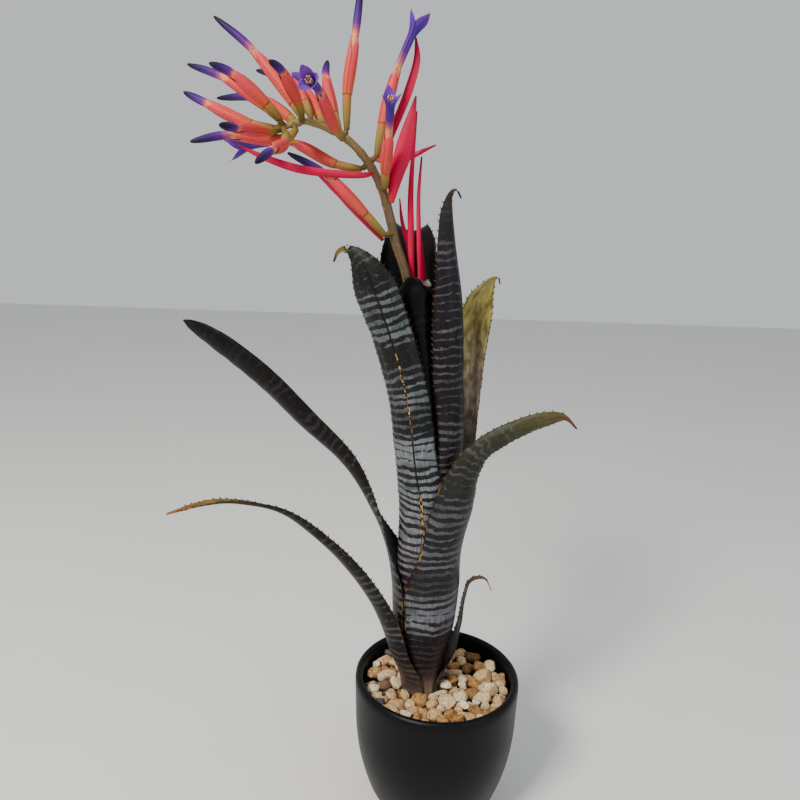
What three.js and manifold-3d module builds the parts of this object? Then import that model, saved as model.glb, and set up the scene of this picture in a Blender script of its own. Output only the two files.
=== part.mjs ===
// A flowering tube bromeliad (a Billbergia hybrid) in a round ceramic pot topped with gravel.
// Millimetres, +Z up, +Y to the back. The origin is the centre of the pot's underside.

import * as THREE from 'three';
import { mergeVertices } from 'three/addons/utils/BufferGeometryUtils.js';
import Module from 'manifold-3d';

const wasm = await Module();
wasm.setup();

// ---- driving dimensions ----

const potHeight = 108;
const rimRadius = 60;         // outside of the rim
const footRadius = 34;        // flat ring that the pot stands on
const wall = 5.5;             // pot wall, and the rim's width
const floorThickness = 7;
const drainRadius = 5;        // three drain holes round the centre
const drainCircle = 18;

const soilTop = 88;
const gravelTop = 97;
const gap = 0.4;              // clearance between pieces that rest on each other
const petalGap = 0.9;         // from the sepals' tips to the petals, along the flower
const fitGap = 0.6;           // clearance of soil and gravel to the pot's wall

const plantX = -12;           // the plant stands a little left of the pot's centre
const crownRadius = 15;       // hole in the gravel that the plant comes out of
const stemFoot = 70;          // how deep the short stem reaches into the soil
const stemRadius = 6;

const leafBase = soilTop + gap;
const leafThickness = 0.9;
const sheathLevels = [leafBase, 105, 125, 150, 180, 210, 240];

const bractThickness = 0.6;

// ---- materials ----

const material = (color, roughness) =>
  new THREE.MeshStandardMaterial({ color, roughness, metalness: 0, side: THREE.FrontSide });

const potGlaze = material('#1e1f22', 0.55);
const pottingSoil = material('#2e231a', 0.95);
const pebble = material('#b8976c', 0.9);
const darkLeaf = material('#2c2f31', 0.5);
const dryLeaf = material('#6d4f33', 0.8);
const stalk = material('#7a6a3a', 0.6);
const bractRed = material('#cf2350', 0.55);
const sepalCoral = material('#e0705a', 0.5);
const petalViolet = material('#43289a', 0.45);

// ---- small tools ----

const points = (list) => list.map((p) => new THREE.Vector3(...p));
const radians = THREE.MathUtils.degToRad;

function solidOf(geometry) {
  const bare = geometry.clone();
  bare.deleteAttribute('normal');
  bare.deleteAttribute('uv');
  const merged = mergeVertices(bare, 1e-4);
  return new wasm.Manifold(new wasm.Mesh({
    numProp: 3,
    vertProperties: merged.attributes.position.array,
    triVerts: new Uint32Array(merged.index.array),
  }));
}

function geometryOf(solid) {
  const { vertProperties, triVerts } = solid.getMesh();
  const geometry = new THREE.BufferGeometry();
  geometry.setAttribute('position', new THREE.BufferAttribute(vertProperties, 3));
  geometry.setIndex(new THREE.BufferAttribute(triVerts, 1));
  return geometry;
}

// A turned shape about the pot's axis: outline points are [radius, height].
function turned(outline, sides) {
  const profile = outline.map(([r, z]) => new THREE.Vector2(r, z));
  return new THREE.LatheGeometry(profile, sides).rotateX(Math.PI / 2);
}

function upright(radius, low, high, x, y, sides = 24) {
  return new THREE.CylinderGeometry(radius, radius, high - low, sides)
    .rotateX(Math.PI / 2)
    .translate(x, y, (low + high) / 2);
}

// Each point of a geometry goes where place() says.
function shaped(geometry, place) {
  const position = geometry.attributes.position;
  const p = new THREE.Vector3();
  for (let i = 0; i < position.count; i += 1) {
    p.fromBufferAttribute(position, i);
    position.setXYZ(i, ...place(p));
  }
  geometry.deleteAttribute('normal');
  geometry.deleteAttribute('uv');
  return mergeVertices(geometry, 1e-4);
}

const plant = new THREE.Group();

function add(name, geometry, look) {
  const mesh = new THREE.Mesh(geometry, look);
  mesh.name = name;
  plant.add(mesh);
}

// ---- pot, soil and gravel ----

const innerWall = new THREE.SplineCurve([
  [29, floorThickness], [39.5, 14], [45.5, 26], [50.6, 46], [53.2, 68], [54.2, 88], [54.5, 105],
].map(([r, z]) => new THREE.Vector2(r, z)));

const outerWall = new THREE.SplineCurve([
  [footRadius, 0], [41, 9], [47, 18], [52.4, 33], [56.2, 48], [58.6, 66], [59.4, 86], [rimRadius, 105],
].map(([r, z]) => new THREE.Vector2(r, z)));

function pot() {
  const rim = [];
  const rimLip = wall / 2;
  for (let i = 1; i < 6; i += 1) {
    const angle = (Math.PI * i) / 6;
    rim.push([rimRadius - rimLip + rimLip * Math.cos(angle), potHeight - 3 + 3 * Math.sin(angle)]);
  }
  const outside = outerWall.getPoints(11).map((p) => [p.x, p.y]);
  const inside = innerWall.getPoints(9).map((p) => [p.x, p.y]).reverse();
  let body = solidOf(turned([[0, 0], ...outside, ...rim, ...inside, [0, floorThickness]], 44));
  for (let i = 0; i < 3; i += 1) {
    const angle = radians(90 + 120 * i);
    const [x, y] = [drainCircle * Math.cos(angle), drainCircle * Math.sin(angle)];
    body = body.subtract(solidOf(upright(drainRadius, -5, floorThickness + 5, x, y, 12)));
  }
  return geometryOf(body);
}

// The inside of the pot between two heights, less the fit, as [radius, height] points.
function fill(low, high) {
  const levels = 6;
  const outline = [];
  const wallPoints = innerWall.getPoints(40);
  for (let i = 0; i <= levels; i += 1) {
    const z = THREE.MathUtils.lerp(low, high, i / levels);
    const nearest = wallPoints.reduce((a, b) => (Math.abs(b.y - z) < Math.abs(a.y - z) ? b : a));
    outline.push([nearest.x - fitGap - 0.6, z]);
  }
  return outline;
}

function soil() {
  const outline = [[0, floorThickness + gap], ...fill(floorThickness + 4, soilTop), [0, soilTop]];
  const hole = upright(stemRadius + gap, stemFoot - gap, soilTop + 5, plantX, 0, 16);
  return geometryOf(solidOf(turned(outline, 32)).subtract(solidOf(hole)));
}

// One bed of pebbles; its top rises and falls by pebbleSwell as the stones do.
function gravel() {
  const low = soilTop + gap;
  const radius = 52.4;
  const pebbleSwell = 1.6;
  const waveLength = 13;
  const rings = [radius, 44, 36, 28, 20, 12, 6];
  const outline = [[0, low], [radius, low], ...rings.map((r) => [r, gravelTop]), [0, gravelTop]];
  const k = (2 * Math.PI) / waveLength;
  const bed = shaped(turned(outline, 30), (p) => {
    const onTop = p.z > gravelTop - 0.5 ? 1 : 0;
    return [p.x, p.y, p.z + onTop * pebbleSwell * Math.sin(k * p.x + 1) * Math.cos(k * p.y)];
  });
  const hole = upright(crownRadius, low - 5, gravelTop + 5, plantX, 0, 20);
  return geometryOf(solidOf(bed).subtract(solidOf(hole)));
}

add('pot', pot(), potGlaze);
add('soil', soil(), pottingSoil);
add('gravel', gravel(), pebble);

// ---- stems and flowers: round shapes along a curve ----

// radiusAt gives the radius for a place 0..1 along the curve.
function round(curve, radiusAt, sides, steps) {
  const { normals, binormals } = curve.computeFrenetFrames(steps);
  return shaped(new THREE.CylinderGeometry(1, 1, 1, sides, steps), (p) => {
    const step = Math.round((p.y + 0.5) * steps);
    const t = step / steps;
    return curve.getPointAt(t)
      .addScaledVector(binormals[step], p.x * radiusAt(t))
      .addScaledVector(normals[step], p.z * radiusAt(t));
  });
}

// A radius that runs through a few evenly spaced values.
function through(values) {
  const line = new THREE.SplineCurve(values.map((v, i) => new THREE.Vector2(i, v)));
  return (t) => line.getPoint(t).y;
}

// Short stem in the soil, the flower stalk inside the tube, and the zigzag rachis that bears the flowers.
const scapeLine = new THREE.CatmullRomCurve3(points([
  [-12, 0, 70], [-12, 0, 88], [-13, 0, 125], [-16, 0, 190], [-21, 0, 270], [-26, 0, 335],
  [-31, 0, 391], [-39.5, 0, 416], [-43.5, -1, 431], [-48.5, -2, 447], [-55, -5, 459], [-63, -9, 469],
  [-72, -13, 476], [-84, -17, 481], [-95, -21, 483], [-108, -26, 478],
]), false, 'centripetal');

function scape() {
  const [neck, rachis] = [4, 3];
  const radiusAt = (t) => {
    if (t < 0.035) return stemRadius;
    if (t < 0.8) return THREE.MathUtils.lerp(neck, rachis, t / 0.8);
    return THREE.MathUtils.lerp(rachis, 1.7, (t - 0.8) / 0.2);
  };
  return round(scapeLine, radiusAt, 8, 34);
}

add('scape', scape(), stalk);

// ---- leaves ----

// Half the width of the tube that the leaf sheaths make, for a leaf's rank: 0 innermost, 1 outermost.
function sheathRadius(z, rank) {
  const inner = THREE.MathUtils.lerp(5.4, 12, THREE.MathUtils.smoothstep(z, leafBase, 190));
  const outer = THREE.MathUtils.lerp(13.4, 26, THREE.MathUtils.smoothstep(z, leafBase, 170));
  return THREE.MathUtils.lerp(inner, outer, rank);
}

// A leaf starts as a sheath round the plant's axis, at an angle from +X, up to sheathTop.
// From there its blade follows free stations of [x, y, z, half width, curl radius, twist in degrees].
const leaves = {
  leaf_left_low: {
    angle: 218, rank: 1, wrap: 60, sheathTop: 105,
    blade: [
      [-31, -16, 128, 13, 17, 0], [-41, -20, 160, 12, 15, 5], [-58, -24, 191, 10, 12, 10],
      [-80, -29, 218, 8, 9, 15], [-108, -33, 241, 6, 7, 15], [-138, -36, 248, 5, 6, 10],
      [-160, -37, 246, 3.5, 5, 0], [-181, -38, 240, 1.2, 5, 0],
    ],
  },
  leaf_small_dry: {
    angle: 0, rank: 1, wrap: 48, sheathTop: 105,
    blade: [
      [12, 0, 126, 11, 22, 0], [16, 1, 150, 7, 18, 0], [18, 2, 169, 4.5, 12, 0], [22, 1, 181, 3, 8, 0],
      [31, 0, 183, 2, 6, 0], [36, -2, 175, 0.8, 5, 0],
    ],
  },
  leaf_arching_right: {
    angle: 305, rank: 0.89, wrap: 70, sheathTop: 180,
    blade: [
      [4, -20, 207, 22.5, 24, 4], [7, -24, 236, 20, 20, -8], [9, -26, 262, 13, 14, -25],
      [18, -28, 284, 8, 10, -45], [36, -30, 298, 7, 9, -55], [57, -30, 307, 6, 8, -55],
      [71, -30, 309, 4, 7, -55], [79, -30, 303, 1.2, 6, -55],
    ],
  },
  leaf_left_long: {
    angle: 168, rank: 0.78, wrap: 60, sheathTop: 180,
    blade: [
      [-39, 6, 204, 13, 18, 0], [-52, 8, 232, 10, 14, 30], [-69, 10, 262, 9, 12, 60],
      [-98, 13, 290, 9, 12, 75], [-130, 17, 320, 9, 14, 75], [-158, 20, 341, 8, 14, 75],
      [-185, 23, 358, 2, 12, 75],
    ],
  },
  leaf_right_back: {
    angle: 35, rank: 0.67, wrap: 55, sheathTop: 240,
    blade: [
      [14, 16, 274, 14, 20, 0], [14.5, 17, 312, 14, 18, 12], [15.5, 17.5, 350, 14, 17, 22],
      [17.5, 18, 366, 13, 17, 25], [19.5, 19, 378, 10.5, 16, 25], [23, 20, 387, 6, 13, 22],
      [27, 21, 393, 2.4, 9, 15], [30, 20, 394, 1, 8, 10], [31, 18, 390, 0.6, 6, 0],
    ],
  },
  leaf_front_left: {
    angle: 250, rank: 0.56, wrap: 62, sheathTop: 240,
    blade: [
      [-23.5, -22.5, 268, 17.5, 18, 0], [-31, -25, 318, 17, 16, 0], [-43.5, -27, 360, 17, 16.5, 0],
      [-53, -28, 385, 16.5, 20, 0], [-58.5, -28, 399, 11, 16, 0], [-63.5, -26, 406.5, 5.5, 10, 0],
      [-68.5, -24, 410, 2.2, 6, 0], [-74, -22, 408.5, 1.4, 5, 0], [-77, -21, 402, 0.6, 5, 0],
    ],
  },
  leaf_right_tall: {
    angle: 318, rank: 0.44, wrap: 54, sheathTop: 240,
    blade: [
      [6.5, -12.5, 285, 15.5, 14, 0], [4, -13.5, 328, 18, 14, 0], [2.5, -14, 358, 18.5, 14, 0],
      [0.5, -13, 384, 16, 12.5, 0], [-4.5, -12, 417, 10, 9, 0], [-6.5, -11, 435, 6.5, 7, 0],
      [-6.5, -10, 444, 2.4, 6, 0], [-3, -8, 448, 1.3, 5, 0], [0.5, -7, 443, 0.6, 5, 0],
    ],
  },
  leaf_back: {
    angle: 90, rank: 0.33, wrap: 60, sheathTop: 240,
    blade: [
      [-16, 16, 300, 17, 16, 0], [-26, 17, 360, 20, 19, 0], [-30.5, 19, 398, 23, 22, 0],
      [-30, 21.5, 414, 20, 20, 0], [-29, 27, 423, 13, 16, 0], [-28.5, 34, 423, 6.5, 12, 0],
      [-28, 40, 417, 1.2, 8, 0],
    ],
  },
  leaf_inner_left: {
    angle: 190, rank: 0.22, wrap: 35, sheathTop: 210,
    blade: [[-28, -3, 270, 8, 14, 0], [-34, -4, 330, 7, 12, 0], [-40, -5, 387, 3, 10, 0]],
  },
  leaf_inner_front: {
    angle: 268, rank: 0.11, wrap: 60, sheathTop: 240,
    blade: [
      [-15, -13, 290, 14, 13, 0], [-20, -13, 340, 13, 12, 0], [-24.5, -12, 368, 12.5, 13, 0],
      [-26, -11.5, 381, 12.5, 15, 0], [-25, -13, 389, 8, 12, 0], [-21, -16, 391.5, 3.4, 8, 0],
      [-16.5, -17.5, 389, 1, 6, 0],
    ],
  },
};

function leafStations({ angle, rank, wrap, sheathTop, blade }) {
  const [x, y] = [Math.cos(radians(angle)), Math.sin(radians(angle))];
  const sheath = sheathLevels.filter((z) => z <= sheathTop).map((z) => {
    const r = sheathRadius(z, rank);
    return [plantX + r * x, r * y, z, r * radians(wrap), r, 0];
  });
  return { sheathCount: sheath.length, stations: [...sheath, ...blade] };
}

function leaf(form) {
  const across = 6;
  const { sheathCount, stations } = leafStations(form);
  const middle = new THREE.CatmullRomCurve3(points(stations.map((s) => s.slice(0, 3))), false, 'centripetal');
  const section = new THREE.CatmullRomCurve3(points(stations.map((s) => s.slice(3))), false, 'centripetal');
  const last = stations.length - 1;
  const rows = [];
  for (let i = 0; i <= last; i += i < sheathCount - 1 ? 1 : 0.5) rows.push(i / last);
  const side = new THREE.Vector3(-Math.sin(radians(form.angle)), Math.cos(radians(form.angle)), 0);
  const frames = rows.map((t, row) => {
    const inSheath = row < sheathCount;
    const along = inSheath ? new THREE.Vector3(0, 0, 1) : middle.getTangent(t);
    const { x: halfWidth, y: curl, z: twist } = section.getPoint(t);
    const s = side.clone().addScaledVector(along, -side.dot(along)).normalize();
    s.applyAxisAngle(along, radians(twist));
    const n = s.clone().cross(along);
    const thickness = leafThickness * (inSheath ? 0.5 + 0.5 * THREE.MathUtils.smoothstep(row, 0, 3) : 1);
    return { p: middle.getPoint(t), s, n, halfWidth, curl, thickness };
  });
  return shaped(new THREE.BoxGeometry(1, 1, 1, across, rows.length - 1, 1), (q) => {
    const { p, s, n, halfWidth, curl, thickness } = frames[Math.round((q.y + 0.5) * (rows.length - 1))];
    const a = (2 * q.x * halfWidth) / curl;
    const r = curl + q.z * thickness;
    return p.clone()
      .addScaledVector(n, r * Math.cos(a) - curl)
      .addScaledVector(s, r * Math.sin(a));
  });
}

for (const [name, form] of Object.entries(leaves)) {
  add(name, leaf(form), name === 'leaf_small_dry' ? dryLeaf : darkLeaf);
}

// ---- bracts: ribbons of [x, y, z, half width, direction that the face looks to, in degrees] ----

const bracts = {
  bract_sail: [
    [-43, -7, 439, 1.5, 270], [-41, -9, 454, 4.5, 270], [-36, -12, 471, 5.5, 265], [-30, -15, 500, 0.6, 260],
  ],
  bract_ribbon: [
    [-52, 2, 464, 2, 250], [-46, 5, 479, 2.6, 250], [-35, 7, 507, 2.8, 255], [-30, 7, 526, 2.2, 260],
    [-31, 6, 538, 0.5, 260],
  ],
  bract_upright: [
    [-23.6, 3.8, 340, 1, 270], [-28, 4, 388, 1.8, 270], [-30, 4, 420, 2.1, 270], [-31, 3, 450, 1.7, 270],
    [-29, -2, 494, 0.5, 270],
  ],
  bract_slim: [
    [-20.5, 0, 345, 0.8, 270], [-23, 0, 388, 1.3, 270], [-25, 0, 420, 1.5, 270], [-26, 0, 444, 1.2, 270],
    [-25, 0, 468, 0.5, 270],
  ],
  bract_left: [
    [-28, 5, 358, 0.8, 250], [-28, 8, 393, 1.2, 240], [-32, 9, 414, 1.8, 240], [-36, 8, 428, 1.4, 240],
    [-38, 7, 443, 0.4, 240],
  ],
  bract_right: [
    [-21.5, 4, 350, 0.8, 280], [-20, 5, 388, 1.2, 280], [-22, 5, 405, 1.6, 280], [-24, 4, 422, 0.4, 280],
  ],
  bract_swept: [
    [-58, -11, 455, 1.6, 270], [-71, -18, 454, 2.2, 270], [-97, -30, 455, 2.4, 275],
    [-116, -35, 460, 1.8, 280], [-131, -37, 466, 0.4, 280],
  ],
  bract_under: [
    [-48, 4, 416, 1.6, 225], [-63, -1, 430, 2.6, 225], [-78, -6, 445, 2.6, 225], [-88, -10, 454, 1.8, 225],
    [-94, -13, 459, 0.4, 225],
  ],
  bract_side: [
    [-39, 4, 451, 1.4, 290], [-34, 7, 467, 2, 290], [-27, 8, 471, 1.6, 290], [-16, 6, 476, 0.4, 290],
  ],
};

function bract(stations) {
  const middle = new THREE.CatmullRomCurve3(points(stations.map((s) => s.slice(0, 3))), false, 'centripetal');
  const widths = through(stations.map((s) => s[3]));
  const facing = through(stations.map((s) => s[4]));
  const steps = 2 * (stations.length - 1) + 1;
  return shaped(new THREE.BoxGeometry(1, 1, 1, 2, steps, 1), (q) => {
    const t = q.y + 0.5;
    const along = middle.getTangent(t);
    const angle = radians(facing(t));
    const n = new THREE.Vector3(Math.cos(angle), Math.sin(angle), 0);
    n.addScaledVector(along, -n.dot(along)).normalize();
    const s = along.clone().cross(n);
    const keel = Math.abs(q.x) * widths(t) * 0.7;
    return middle.getPoint(t)
      .addScaledVector(s, 2 * q.x * Math.max(widths(t), 0.3))
      .addScaledVector(n, q.z * bractThickness - keel);
  });
}

for (const [name, stations] of Object.entries(bracts)) add(name, bract(stations), bractRed);

// ---- flowers ----

// Each flower runs from its foot on the rachis to the joint of ovary and sepals,
// the tips of the sepals and the tips of the petals. Open flowers flare at the mouth.
const flowers = [
  { line: [[-98, -18, 486], [-103, -16, 494], [-128, -10, 524], [-152, -5, 543]] },
  { line: [[-110, -21, 483], [-120, -15, 492], [-148, -4, 510], [-172, 6, 519]] },
  { line: [[-108, -30, 482], [-116, -35, 490], [-134, -43, 504], [-144, -48, 507]] },
  { line: [[-96, -26, 486], [-98, -33, 492], [-105, -47, 505], [-110, -53, 508]] },
  { line: [[-92, -17, 486], [-97, -8, 496], [-110, 12, 513], [-135, 34, 523]] },
  { line: [[-101, -15, 482], [-106, -8, 487], [-131, 13, 502], [-160, 28, 504]] },
  { line: [[-112, -25, 478], [-127, -24, 480], [-155, -20, 492], [-168, -16, 498]] },
  { line: [[-110, -33, 475], [-115, -43, 473], [-127, -66, 471], [-131, -78, 470]] },
  { line: [[-99, -25, 478], [-106, -29, 471], [-137, -38, 471], [-157, -43, 466]] },
  { line: [[-104, -33, 474], [-104, -42, 467], [-107, -65, 460], [-111, -86, 451]] },
  { line: [[-73, -18, 474], [-77, -29, 479], [-83, -55, 493], [-87, -76, 495]], open: 6 },
  { line: [[-75, -9, 477], [-80, -1, 492], [-87, 14, 517], [-87, 24, 528]] },
  { line: [[-71, -13, 479], [-71, -13, 501], [-67, -10, 533], [-64, -6, 564]] },
  { line: [[-53, -6, 465], [-49.5, -4, 487], [-41.5, 0, 518], [-28, 5, 551]], open: 6.5 },
  { line: [[-47, -9, 447], [-47, -14, 457], [-45, -26, 479], [-44, -42, 497]], open: 5.5 },
  { line: [[-61, -5, 459], [-79, -3, 462], [-107, 1, 474], [-147, 4, 470]], open: 7 },
  { line: [[-46, -6, 419], [-60, -11, 433], [-83, -19, 454], [-105, -26, 465]] },
  { line: [[-85, -13, 483], [-88, -7, 488], [-101, 18, 510], [-106, 26, 519]], open: 5 },
];

const ovaryRadius = 2.8;
const sepalRadius = 3.6;
const petalRadius = 2.4;

function flower(index, { line, open }) {
  const name = String(index + 1).padStart(2, '0');
  const curve = new THREE.CatmullRomCurve3(points(line), false, 'centripetal');
  const lengths = curve.getLengths(60);
  const [joint, mouth] = [1 / 3, 2 / 3].map((t) => lengths[Math.round(60 * t)] / lengths[60]);
  const part = (from, to) => new THREE.CatmullRomCurve3(
    [0, 1, 2, 3, 4].map((i) => curve.getPointAt(THREE.MathUtils.lerp(from, to, i / 4))),
  );
  const calyxShape = (t) => {
    const edge = joint / mouth;
    if (t <= edge) return THREE.MathUtils.lerp(1.6, ovaryRadius, t / edge);
    const u = (t - edge) / (1 - edge);
    return ovaryRadius + (sepalRadius - ovaryRadius) * Math.sin(Math.PI * u) - 0.7 * u * u;
  };
  const petalShape = open
    ? through([petalRadius, petalRadius + 0.3, petalRadius + 1, open])
    : through([petalRadius, petalRadius + 0.6, petalRadius + 0.2, 0.8]);
  const start = mouth + petalGap / lengths[60];
  add(`calyx_${name}`, round(part(0, mouth), calyxShape, 6, 7), sepalCoral);
  add(`corolla_${name}`, round(part(start, 1), petalShape, 6, 4), petalViolet);
}

flowers.forEach((form, index) => flower(index, form));

export default plant;
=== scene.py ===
# A flowering tube bromeliad in a matt charcoal pot topped with gravel.
# Shapes are given in millimetres in the part's own frame. Each piece of the plant is then
# seated on the box of the CAD node that it stands for.

import bpy
import bmesh
import math
import random
from mathutils import Matrix, Vector, noise


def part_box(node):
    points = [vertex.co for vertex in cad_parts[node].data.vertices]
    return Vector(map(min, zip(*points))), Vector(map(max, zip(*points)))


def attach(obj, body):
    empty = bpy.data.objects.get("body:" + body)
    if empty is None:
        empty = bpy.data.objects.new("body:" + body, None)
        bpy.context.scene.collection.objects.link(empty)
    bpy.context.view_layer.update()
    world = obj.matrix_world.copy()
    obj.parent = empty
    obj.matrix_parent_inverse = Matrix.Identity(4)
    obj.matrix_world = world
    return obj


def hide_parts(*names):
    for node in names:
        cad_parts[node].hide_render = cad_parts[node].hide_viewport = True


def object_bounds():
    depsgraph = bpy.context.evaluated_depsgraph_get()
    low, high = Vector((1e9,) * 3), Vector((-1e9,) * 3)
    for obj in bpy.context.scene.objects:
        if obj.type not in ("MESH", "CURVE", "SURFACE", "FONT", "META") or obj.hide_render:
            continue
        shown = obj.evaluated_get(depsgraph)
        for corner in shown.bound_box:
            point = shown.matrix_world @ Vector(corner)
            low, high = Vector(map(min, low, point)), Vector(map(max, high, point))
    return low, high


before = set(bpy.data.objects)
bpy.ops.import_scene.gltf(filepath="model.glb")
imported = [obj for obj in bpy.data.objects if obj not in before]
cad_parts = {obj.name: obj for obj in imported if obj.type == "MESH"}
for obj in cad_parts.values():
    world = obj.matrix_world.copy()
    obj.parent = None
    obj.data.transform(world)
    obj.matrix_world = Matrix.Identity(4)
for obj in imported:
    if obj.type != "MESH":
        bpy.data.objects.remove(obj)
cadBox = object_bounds()
mm = 0.001
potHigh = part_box("pot")[1]
gravelLow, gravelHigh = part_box("gravel")
print("frame loaded with", len(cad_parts), "nodes")


# camera: in front of the pot, level with the leaf tips, looking slightly down

camera = {
    "lens": 30.6,
    "fromRim": (-33.6, -448.6, 301.4),
    "pitch": 12.3,
    "roll": 1.84,
    "clip": 0.02,
}


def addCamera():
    data = bpy.data.cameras.new("camera")
    data.lens = camera["lens"]
    data.clip_start = camera["clip"]
    shot = bpy.data.objects.new("camera", data)
    bpy.context.scene.collection.objects.link(shot)
    place = Vector((0, 0, potHigh.z)) + Vector(camera["fromRim"]) * mm
    tilt = Matrix.Rotation(math.radians(90 - camera["pitch"]), 4, "X")
    roll = Matrix.Rotation(math.radians(camera["roll"]), 4, "Z")
    shot.matrix_world = Matrix.Translation(place) @ tilt @ roll
    bpy.context.scene.camera = shot


addCamera()
print("camera placed")


# tools: colour, nodes, curves and meshes

# A hex sRGB colour, or a plain grey level, as linear red, green, blue and alpha.
def toLinear(code):
    if not isinstance(code, str):
        return (code, code, code, 1.0)
    parts = [int(code[i:i + 2], 16) / 255 for i in (0, 2, 4)]
    return tuple(c / 12.92 if c <= 0.04045 else ((c + 0.055) / 1.055) ** 2.4 for c in parts) + (1.0,)


# Adds a node. Settings are its properties or its inputs' values, links are sockets to join to
# its inputs, and the socket that comes back is its first one in use, or the one named by out.
def addNode(tree, kind, settings=None, links=None, out=None):
    node = tree.nodes.new("ShaderNode" + kind)

    def inputOf(key):
        if isinstance(key, int):
            return node.inputs[key]
        named = [s for s in node.inputs if s.identifier == key]
        return named[0] if named else node.inputs[key]

    for key, value in (settings or {}).items():
        if key == "ramp":
            stops = node.color_ramp.elements
            stops.remove(stops[1])
            for i, (place, code) in enumerate(value):
                stop = stops[0] if i == 0 else stops.new(place)
                stop.position = place
                stop.color = toLinear(code)
        elif isinstance(key, str) and hasattr(node, key):
            setattr(node, key, value)
        else:
            inputOf(key).default_value = value
    for key, socket in (links or {}).items():
        tree.links.new(socket, inputOf(key))
    if out is not None:
        return node.outputs[out]
    return next(s for s in node.outputs if s.enabled)


# A pattern's scale from the size in millimetres of what it draws.
def perMetre(size):
    return 1 / (size * mm)


def newMaterial(name, roughness, specular):
    material = bpy.data.materials.new(name)
    material.use_nodes = True
    shader = material.node_tree.nodes["Principled BSDF"]
    shader.inputs["Roughness"].default_value = roughness
    shader.inputs["Specular IOR Level"].default_value = specular
    return material, material.node_tree, shader


def mixColours(tree, factor, first, second, blend="MIX"):
    settings = {"data_type": "RGBA", "blend_type": blend}
    links = {}
    for key, value in (("Factor_Float", factor), ("A_Color", first), ("B_Color", second)):
        if isinstance(value, bpy.types.NodeSocket):
            links[key] = value
        else:
            settings[key] = toLinear(value) if key != "Factor_Float" else value
    return addNode(tree, "Mix", settings, links)


def maths(tree, operation, first, second=0.0):
    settings = {"operation": operation}
    links = {}
    for i, value in enumerate((first, second)):
        if isinstance(value, bpy.types.NodeSocket):
            links[i] = value
        else:
            settings[i] = value
    return addNode(tree, "Math", settings, links)


# A curve through points that keeps an even pace between near and far ones.
def throughPoints(points, t):
    points = [Vector(p) for p in points]
    place = t * (len(points) - 1)
    i = min(int(place), len(points) - 2)
    f = place - i
    p1, p2 = points[i], points[i + 1]
    p0 = points[i - 1] if i > 0 else 2 * p1 - p2
    p3 = points[i + 2] if i + 2 < len(points) else 2 * p2 - p1
    d1 = math.sqrt((p2 - p1).length) or 1.0
    d0 = math.sqrt((p1 - p0).length) or d1
    d2 = math.sqrt((p3 - p2).length) or d1
    t1 = ((p1 - p0) / d0 - (p2 - p0) / (d0 + d1) + (p2 - p1) / d1) * d1
    t2 = ((p2 - p1) / d1 - (p3 - p1) / (d1 + d2) + (p3 - p2) / d2) * d1
    return p1 + t1 * f + (3 * (p2 - p1) - 2 * t1 - t2) * f * f + (2 * (p1 - p2) + t1 + t2) * f ** 3


def throughValues(values, t):
    return throughPoints([(v, 0, 0) for v in values], t).x


def smooth(low, high, x):
    t = min(max((x - low) / (high - low), 0.0), 1.0)
    return t * t * (3 - 2 * t)


def lerp(a, b, t):
    return a + (b - a) * t


# A curve as many short steps: their points, and how far along the curve each one lies.
def measured(points, steps):
    dense = [throughPoints(points, i / steps) for i in range(steps + 1)]
    lengths = [0.0]
    for a, b in zip(dense, dense[1:]):
        lengths.append(lengths[-1] + (b - a).length)
    return dense, lengths


# Points at even steps along a curve, each with its direction and two sides that don't spin.
def framesAlong(points, steps):
    fine = 200
    dense, lengths = measured(points, fine)
    frames = []
    side = None
    k = 0
    for i in range(steps + 1):
        target = lengths[-1] * i / steps
        while k < fine - 1 and lengths[k + 1] < target:
            k += 1
        f = (target - lengths[k]) / (lengths[k + 1] - lengths[k])
        point = dense[k].lerp(dense[k + 1], min(f, 1.0))
        low, high = max(k - 2, 0), min(k + 3, fine)
        along = (dense[high] - dense[low]).normalized()
        if side is None:
            side = along.cross(Vector((0.3, -1, 0.2))).normalized()
        side = (side - along * side.dot(along)).normalized()
        frames.append((point, along, side, along.cross(side)))
    return frames, lengths[-1]


# A grid of across by up faces, each corner placed by place(u, w) with u and w from 0 to 1.
# uvOf(u, w) maps it at its real size in metres, and its corners keep u and w as "place" too.
def addGrid(mesh, across, up, place, uvOf, slotIndex):
    uvLayer = mesh.loops.layers.uv.verify()
    vectors = mesh.verts.layers.float_vector
    placeLayer = vectors.get("place") or vectors.new("place")
    verts = bmesh.ops.create_grid(mesh, x_segments=across, y_segments=up, size=0.5)["verts"]
    flat = {v: (v.co.x + 0.5, v.co.y + 0.5) for v in verts}
    faces = {f for v in verts for f in v.link_faces}
    for face in faces:
        face.smooth = True
        face.material_index = slotIndex
        for loop in face.loops:
            loop[uvLayer].uv = uvOf(*flat[loop.vert])
    for v in verts:
        u, w = flat[v]
        v[placeLayer] = Vector((u, w, 0))
        v.co = place(u, w)
    return verts


# Millimetres to metres, then an object on the root body that stands for the named nodes.
def finishPiece(mesh, name, materials, nodes):
    bmesh.ops.recalc_face_normals(mesh, faces=mesh.faces[:])
    bmesh.ops.scale(mesh, vec=(mm, mm, mm), verts=mesh.verts[:])
    data = bpy.data.meshes.new(name)
    mesh.to_mesh(data)
    mesh.free()
    for material in materials:
        data.materials.append(material)
    piece = bpy.data.objects.new(name, data)
    bpy.context.scene.collection.objects.link(piece)
    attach(piece, "root")
    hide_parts(*nodes)
    return piece


# pot: slip-cast stoneware with a matt charcoal glaze, so it is soft-sheened and faintly speckled

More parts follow.
